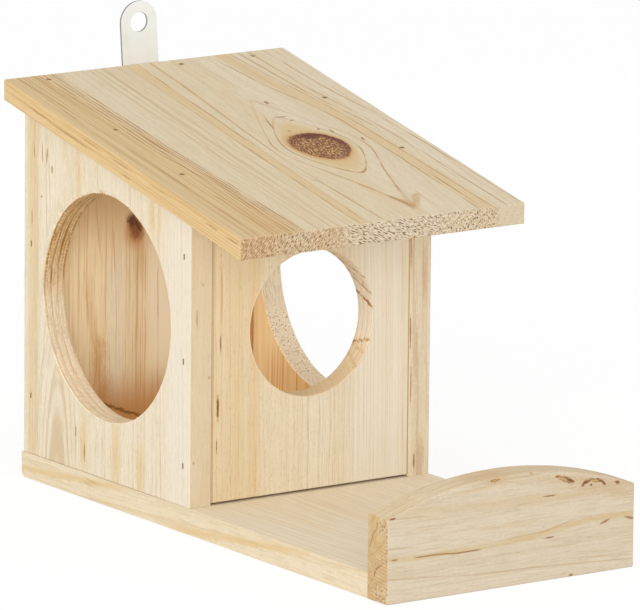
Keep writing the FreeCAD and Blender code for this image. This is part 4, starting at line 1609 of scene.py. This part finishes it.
def round_head_screw(seat):
    """A threaded round-head screw with a cross recess, its head's underside on the origin."""
    dome, rim, rounding, head_radius = 1.4 * MM, 0.4 * MM, 0.1 * MM, 3.0 * MM
    shank_length = seat.length - SCREW_HEAD
    pitch, thread_depth, tip_length = 1.2 * MM, 0.35 * MM, 2.4 * MM
    sides, dome_rows, thread_rows = 40, 8, 64
    shank_radius = sizes().screw_shank / 2
    profile = [(0.0, SCREW_HEAD)]
    for step in range(1, dome_rows + 1):
        turn = math.pi / 2 * step / dome_rows
        profile.append((head_radius * math.sin(turn), rim + dome * math.cos(turn)))
    profile += [(head_radius, rounding), (head_radius - rounding, 0.0)]
    bm = bmesh.new()
    rows = []
    for radius, height in profile:
        rows.append([bm.verts.new((radius * math.cos(math.tau * s / sides),
                                   radius * math.sin(math.tau * s / sides), height))
                     for s in range(sides)])
    for row in range(thread_rows + 1):
        depth = shank_length * row / thread_rows
        point = min(1.0, (shank_length - depth) / tip_length)
        groove = thread_depth * rise(depth, 0.2 * MM, 1.2 * MM)
        ring = []
        for s in range(sides):
            turn = math.tau * s / sides
            wave = abs((depth / pitch + s / sides) % 1.0 - 0.5) * 2
            radius = (shank_radius - groove * (1 - wave ** 2)) * point
            ring.append(bm.verts.new((radius * math.cos(turn), radius * math.sin(turn), -depth)))
        rows.append(ring)
    for upper, lower in zip(rows, rows[1:]):
        for s in range(sides):
            k = (s + 1) % sides
            bm.faces.new((upper[s], lower[s], lower[k], upper[k]))
    bmesh.ops.remove_doubles(bm, verts=bm.verts, dist=SAME_POINT)
    bmesh.ops.recalc_face_normals(bm, faces=bm.faces)
    screw = new_piece("screw_pattern", bm)
    bm = bmesh.new()
    arm, slot, cross_depth = 3.4 * MM, 0.8 * MM, 2 * MM
    for length, width in ((arm, slot), (slot, arm)):
        bmesh.ops.create_cube(bm, size=1.0, matrix=Matrix.Translation((0, 0, SCREW_HEAD)) @
                              Matrix.Diagonal((length, width, cross_depth, 1)))
    cutter = new_piece("screw_recess", bm)
    cut = screw.modifiers.new("recess", "BOOLEAN")
    cut.operation, cut.solver, cut.object, cut.use_self = "DIFFERENCE", "EXACT", cutter, True
    settle(screw)
    bpy.data.meshes.remove(cutter.data)
    return screw


def seat_points(name, seats):
    """A vertex for each seat, with the turn of its fastener."""
    mesh = bpy.data.meshes.new(name)
    mesh.from_pydata([seat.head for seat in seats], [], [])
    mesh.attributes.new("turn", "FLOAT_VECTOR", "POINT")
    for i, seat in enumerate(seats):
        mesh.attributes["turn"].data[i].vector = seat.turn().to_euler()
    points = bpy.data.objects.new(name, mesh)
    bpy.context.scene.collection.objects.link(points)
    return points


def named_inputs(tree, inputs):
    """Adds named inputs to a geometry recipe and returns their identifiers."""
    face = tree.interface
    face.new_socket("Geometry", in_out="INPUT", socket_type="NodeSocketGeometry")
    found = {}
    for label, kind, default in inputs:
        socket = face.new_socket(label, in_out="INPUT", socket_type=kind)
        if default is not None:
            socket.default_value = default
        found[label] = socket.identifier
    face.new_socket("Geometry", in_out="OUTPUT", socket_type="NodeSocketGeometry")
    return found


def run_recipe(points, tree, values, name):
    """Runs a geometry recipe on seat points and leaves the plain mesh."""
    maker = points.modifiers.new("maker", "NODES")
    maker.node_group = tree
    for identifier, value in values.items():
        maker[identifier] = value
    bpy.context.view_layer.update()
    points.name = name
    return settle(points)


def fastener_tree(name, inputs, shape):
    """A geometry recipe that sets one fastener on each seat. shape(recipe, values) gives its mesh,
    and values holds the recipe's named inputs."""
    tree = bpy.data.node_groups.new(name, "GeometryNodeTree")
    identifiers = named_inputs(tree, inputs)
    recipe = Recipe(tree)
    start = tree.nodes.new("NodeGroupInput")
    values = {socket.name: Signal(recipe, socket) for socket in start.outputs if socket.name}
    fastener = shape(recipe, values)
    turn = recipe.node("GeometryNodeInputNamedAttribute", {"data_type": "FLOAT_VECTOR"},
                       {"Name": "turn"})
    spin = recipe.node("FunctionNodeEulerToRotation", {}, {0: turn})
    own_turn = recipe.node("FunctionNodeRandomValue", {"data_type": "FLOAT"},
                           {2: 0.0, 3: values["Spread"], "Seed": values["Seed"]}, 1)
    set_down = recipe.node("GeometryNodeInstanceOnPoints", {},
                           {"Points": values["Geometry"], "Instance": fastener, "Rotation": spin})
    own_spin = recipe.node("FunctionNodeEulerToRotation", {},
                           {0: recipe.vector(0.0, 0.0, own_turn)})
    spun = recipe.node("GeometryNodeRotateInstances", {},
                       {"Instances": set_down, "Rotation": own_spin})
    solid = recipe.node("GeometryNodeRealizeInstances", {}, {0: spun})
    coated = recipe.node("GeometryNodeSetMaterial", {},
                         {"Geometry": solid, "Material": values["Material"]})
    end = tree.nodes.new("NodeGroupOutput")
    tree.links.new(coated.socket, end.inputs[0])
    return tree, identifiers


BRAD_PLAY = 0.04 * MM           # a brad is this much narrower than its slot
BRAD_TIP, BRAD_TIP_WIDTH = 3 * MM, 0.25


def brad_shape(recipe, values):
    """A flat-sided brad: a wider head on a shank that narrows to its point."""
    head_depth, length = values["Head depth"], values["Length"]
    head = recipe.node("GeometryNodeMeshCube", {"label": "head"}, {
        "Size": recipe.vector(values["Head width"], values["Thickness"], head_depth),
        "Vertices X": 4, "Vertices Y": 3, "Vertices Z": 3})
    head = recipe.node("GeometryNodeTransform", {}, {
        "Geometry": head, "Translation": recipe.vector(0.0, 0.0, head_depth * -0.5)})
    shank_length = length - head_depth * 0.5
    shank = recipe.node("GeometryNodeMeshCube", {"label": "shank"}, {
        "Size": recipe.vector(values["Shank width"], values["Thickness"] * 0.98, shank_length),
        "Vertices X": 2, "Vertices Y": 2, "Vertices Z": 12})
    shank = recipe.node("GeometryNodeTransform", {}, {
        "Geometry": shank,
        "Translation": recipe.vector(0.0, 0.0, (shank_length * 0.5 + head_depth * 0.5) * -1.0)})
    place = recipe.node("GeometryNodeInputPosition", {}, {})
    height = recipe.node("ShaderNodeSeparateXYZ", {}, {0: place}, 2)
    narrow = recipe.node("ShaderNodeMapRange", {}, {
        "Value": height + length, "From Min": 0.0, "From Max": BRAD_TIP,
        "To Min": BRAD_TIP_WIDTH, "To Max": 1.0})
    shank = recipe.node("GeometryNodeSetPosition", {}, {
        "Geometry": shank, "Position": place * recipe.vector(narrow, narrow, 1.0)})
    joined = recipe.node("GeometryNodeMeshBoolean", {"operation": "UNION", "solver": "EXACT"},
                         {"Mesh": head}, "Mesh")
    recipe.tree.links.new(shank.socket, joined.socket.node.inputs["Mesh"])
    return joined


class FEEDER_OT_brads(bpy.types.Operator):
    """Set the wire brads in the roof, the side walls and the base"""
    bl_idname = "feeder.brads"
    bl_label = "Brads"

    def execute(self, context):
        look = sizes()
        # The dark tone for faces that look up is painted shade on the sunk heads of the roof's
        # brads.
        steel = plated_steel("Brad steel", srgb(92, 78, 56), 0.5, 0.6, srgb(48, 34, 24))
        inputs = (("Head width", "NodeSocketFloat", look.brad_head_width - BRAD_PLAY),
                  ("Head depth", "NodeSocketFloat", look.brad_head_depth),
                  ("Thickness", "NodeSocketFloat", look.brad_thickness - BRAD_PLAY),
                  ("Shank width", "NodeSocketFloat", look.brad_width - BRAD_PLAY),
                  ("Length", "NodeSocketFloat", 19.6 * MM),
                  ("Spread", "NodeSocketFloat", 0.0),
                  ("Seed", "NodeSocketInt", 5),
                  ("Material", "NodeSocketMaterial", None))
        tree, identifiers = fastener_tree("Brads on their seats", inputs, brad_shape)
        for node, seats in brad_seats.items():
            values = {identifiers["Material"]: steel,
                      identifiers["Length"]: seats[0].length - BRAD_PLAY / 2}
            piece = run_recipe(seat_points(node, seats), tree, values, node + "_steel")
            dress(piece, node, "brads", steel)
        return {"FINISHED"}


class FEEDER_OT_hanger_screws(bpy.types.Operator):
    """Set the two round-head screws of the hanger"""
    bl_idname = "feeder.hanger_screws"
    bl_label = "Hanger screws"

    def execute(self, context):
        steel = plated_steel("Screw steel", srgb(205, 200, 188), 0.38, 0.4)
        screw = round_head_screw(screw_seats[0])
        inputs = (("Screw", "NodeSocketObject", None), ("Sunk", "NodeSocketFloat", SCREW_HEAD),
                  ("Spread", "NodeSocketFloat", 1.4), ("Seed", "NodeSocketInt", 12),
                  ("Material", "NodeSocketMaterial", None))

        def shape(recipe, values):
            drawn = recipe.node("GeometryNodeObjectInfo", {}, {"Object": values["Screw"]},
                                "Geometry")
            return recipe.node("GeometryNodeTransform", {}, {
                "Geometry": drawn, "Translation": recipe.vector(0.0, 0.0, values["Sunk"] * -1.0)})
        tree, identifiers = fastener_tree("Screws on their seats", inputs, shape)
        values = {identifiers["Screw"]: screw, identifiers["Material"]: steel}
        piece = run_recipe(seat_points("hanger_screws", screw_seats), tree, values,
                           "hanger_screws_steel")
        bpy.data.meshes.remove(screw.data)
        dress(piece, "hanger_screws", "hanger_screws", steel)
        return {"FINISHED"}


# Stage

WHITE = (1.0, 1.0, 1.0, 1.0)
VIEW_FROM = Vector((-2064.9, -2966.5, 862.4)) * MM
VIEW_YAW, VIEW_PITCH, VIEW_ROLL = [math.radians(a) for a in (34.83, 12.05, 0.57)]
FRAME_PIXELS = 640.0
FOCAL_PIXELS = 9000.0


def background_rays(recipe):
    """1 for what the camera sees straight, in a mirror or through glass, and 0 for light."""
    seen, mirrored, through = [
        recipe.node("ShaderNodeLightPath", {}, {}, kind)
        for kind in ("Is Camera Ray", "Is Glossy Ray", "Is Transmission Ray")]
    return seen.most(mirrored).most(through)


class FEEDER_OT_stage(bpy.types.Operator):
    """Set up the floor, the soft studio light and the camera"""
    bl_idname = "feeder.stage"
    bl_label = "Stage"

    def execute(self, context):
        scene = context.scene
        stage = scene.feeder_stage
        scene.view_settings.view_transform = "Standard"
        self.sweep(stage)
        self.surround(scene, stage)
        self.soft_light("key_light", (-1.64, -1.26, 0.70), (3.0, 1.2), stage.key)
        self.soft_light("fill_light", (1.4, -1.6, 0.8), (1.6, 1.2), stage.fill)
        self.camera(scene)
        return {"FINISHED"}

    def sweep(self, stage):
        """A floor that curves up into a far backdrop."""
        bm = bmesh.new()
        front, back, half_width, bend, top, steps = -7.0, 5.0, 9.0, 2.5, 6.0, 12
        profile = [(front, GROUND), (back, GROUND)]
        for step in range(1, steps + 1):
            turn = math.pi / 2 * step / steps
            profile.append((back + bend * math.sin(turn), GROUND + bend * (1 - math.cos(turn))))
        profile.append((back + bend, top))
        rows = [[bm.verts.new((x, y, z)) for y, z in profile] for x in (-half_width, half_width)]
        for i in range(len(profile) - 1):
            bm.faces.new((rows[0][i], rows[1][i], rows[1][i + 1], rows[0][i + 1]))
        bmesh.ops.recalc_face_normals(bm, faces=bm.faces)
        floor = new_piece("studio_sweep", bm)
        material = bpy.data.materials.new("White paper")
        material.use_nodes = True
        floor.data.materials.append(material)
        paper = Recipe(material.node_tree)
        glow_share, glow_strength = 0.75, 1.07
        matt = paper.node("ShaderNodeBsdfDiffuse", {}, {"Color": (*stage.floor, 1.0)})
        glow = paper.node("ShaderNodeEmission", {}, {"Color": WHITE, "Strength": glow_strength})
        both = paper.node("ShaderNodeMixShader", {},
                          {0: background_rays(paper) * glow_share, 1: matt, 2: glow})
        paper.node("ShaderNodeOutputMaterial", {}, {"Surface": both})

    def surround(self, scene, stage):
        """Even light from all around, in front of a white background."""
        world = bpy.data.worlds.new("Soft room")
        world.use_nodes = True
        scene.world = world
        room = Recipe(world.node_tree)
        strength = background_rays(room) * (1.0 - stage.ambient) + stage.ambient
        light = room.node("ShaderNodeBackground", {}, {"Color": WHITE, "Strength": strength})
        room.node("ShaderNodeOutputWorld", {}, {"Surface": light})

    def soft_light(self, name, place, width, power):
        """A large soft lamp that looks at the feeder's middle."""
        lamp = bpy.data.lights.new(name, "AREA")
        lamp.shape, lamp.energy = "RECTANGLE", power
        lamp.size, lamp.size_y = width
        lamp_object = bpy.data.objects.new(name, lamp)
        bpy.context.scene.collection.objects.link(lamp_object)
        lamp_object.location = place
        aim = Vector((0.0, 0.0, 0.08)) - Vector(place)
        lamp_object.rotation_euler = aim.to_track_quat("-Z", "Y").to_euler()

    def camera(self, scene):
        """The camera, from the front left, slightly rolled."""
        eye = bpy.data.cameras.new("front_left_view")
        eye.sensor_width = 36.0
        eye.lens = FOCAL_PIXELS * eye.sensor_width / FRAME_PIXELS
        eye.clip_start, eye.clip_end = 0.1, 60.0
        camera = bpy.data.objects.new("front_left_view", eye)
        scene.collection.objects.link(camera)
        flat_right = Vector((math.cos(VIEW_YAW), -math.sin(VIEW_YAW), 0.0))
        ahead = Vector((math.sin(VIEW_YAW) * math.cos(VIEW_PITCH),
                        math.cos(VIEW_YAW) * math.cos(VIEW_PITCH), -math.sin(VIEW_PITCH)))
        flat_up = flat_right.cross(ahead)
        right = flat_right * math.cos(VIEW_ROLL) + flat_up * math.sin(VIEW_ROLL)
        up = flat_up * math.cos(VIEW_ROLL) - flat_right * math.sin(VIEW_ROLL)
        turn = Matrix((right, up, -ahead)).transposed().to_4x4()
        camera.matrix_world = Matrix.Translation(VIEW_FROM) @ turn
        scene.camera = camera


class FEEDER_PT_panel(bpy.types.Panel):
    """Lists the feeder's sizes, colours and makers"""
    bl_idname = "FEEDER_PT_panel"
    bl_label = "Squirrel Feeder"
    bl_space_type = "VIEW_3D"
    bl_region_type = "UI"
    bl_category = "Feeder"

    def draw(self, context):
        """Shows every setting, then a button for each maker."""
        scene = context.scene
        for settings in (scene.feeder_sizes, scene.feeder_colours, scene.feeder_stage):
            box = self.layout.box()
            for name in settings.__annotations__:
                box.prop(settings, name)
        column = self.layout.column(align=True)
        for maker in MAKERS:
            column.operator(maker.bl_idname)


MAKERS = (FEEDER_OT_base_board, FEEDER_OT_front_lip, FEEDER_OT_side_walls,
          FEEDER_OT_front_wall, FEEDER_OT_back_wall, FEEDER_OT_roof_board,
          FEEDER_OT_hanger_plate, FEEDER_OT_hanger_screws, FEEDER_OT_brads, FEEDER_OT_stage)
CLASSES = (FeederSizes, WoodColours, StageSettings) + MAKERS + (FEEDER_PT_panel,)


def register():
    for part in CLASSES:
        bpy.utils.register_class(part)
    bpy.types.Scene.feeder_sizes = PointerProperty(type=FeederSizes)
    bpy.types.Scene.feeder_colours = PointerProperty(type=WoodColours)
    bpy.types.Scene.feeder_stage = PointerProperty(type=StageSettings)


def unregister():
    del bpy.types.Scene.feeder_sizes
    del bpy.types.Scene.feeder_colours
    del bpy.types.Scene.feeder_stage
    for part in reversed(CLASSES):
        bpy.utils.unregister_class(part)


def dress_feeder():
    """Makes every piece in order."""
    register()
    for maker in MAKERS:
        group, name = maker.bl_idname.split(".")
        getattr(getattr(bpy.ops, group), name)()
    bpy.context.view_layer.update()


if __name__ == "__main__":
    dress_feeder()
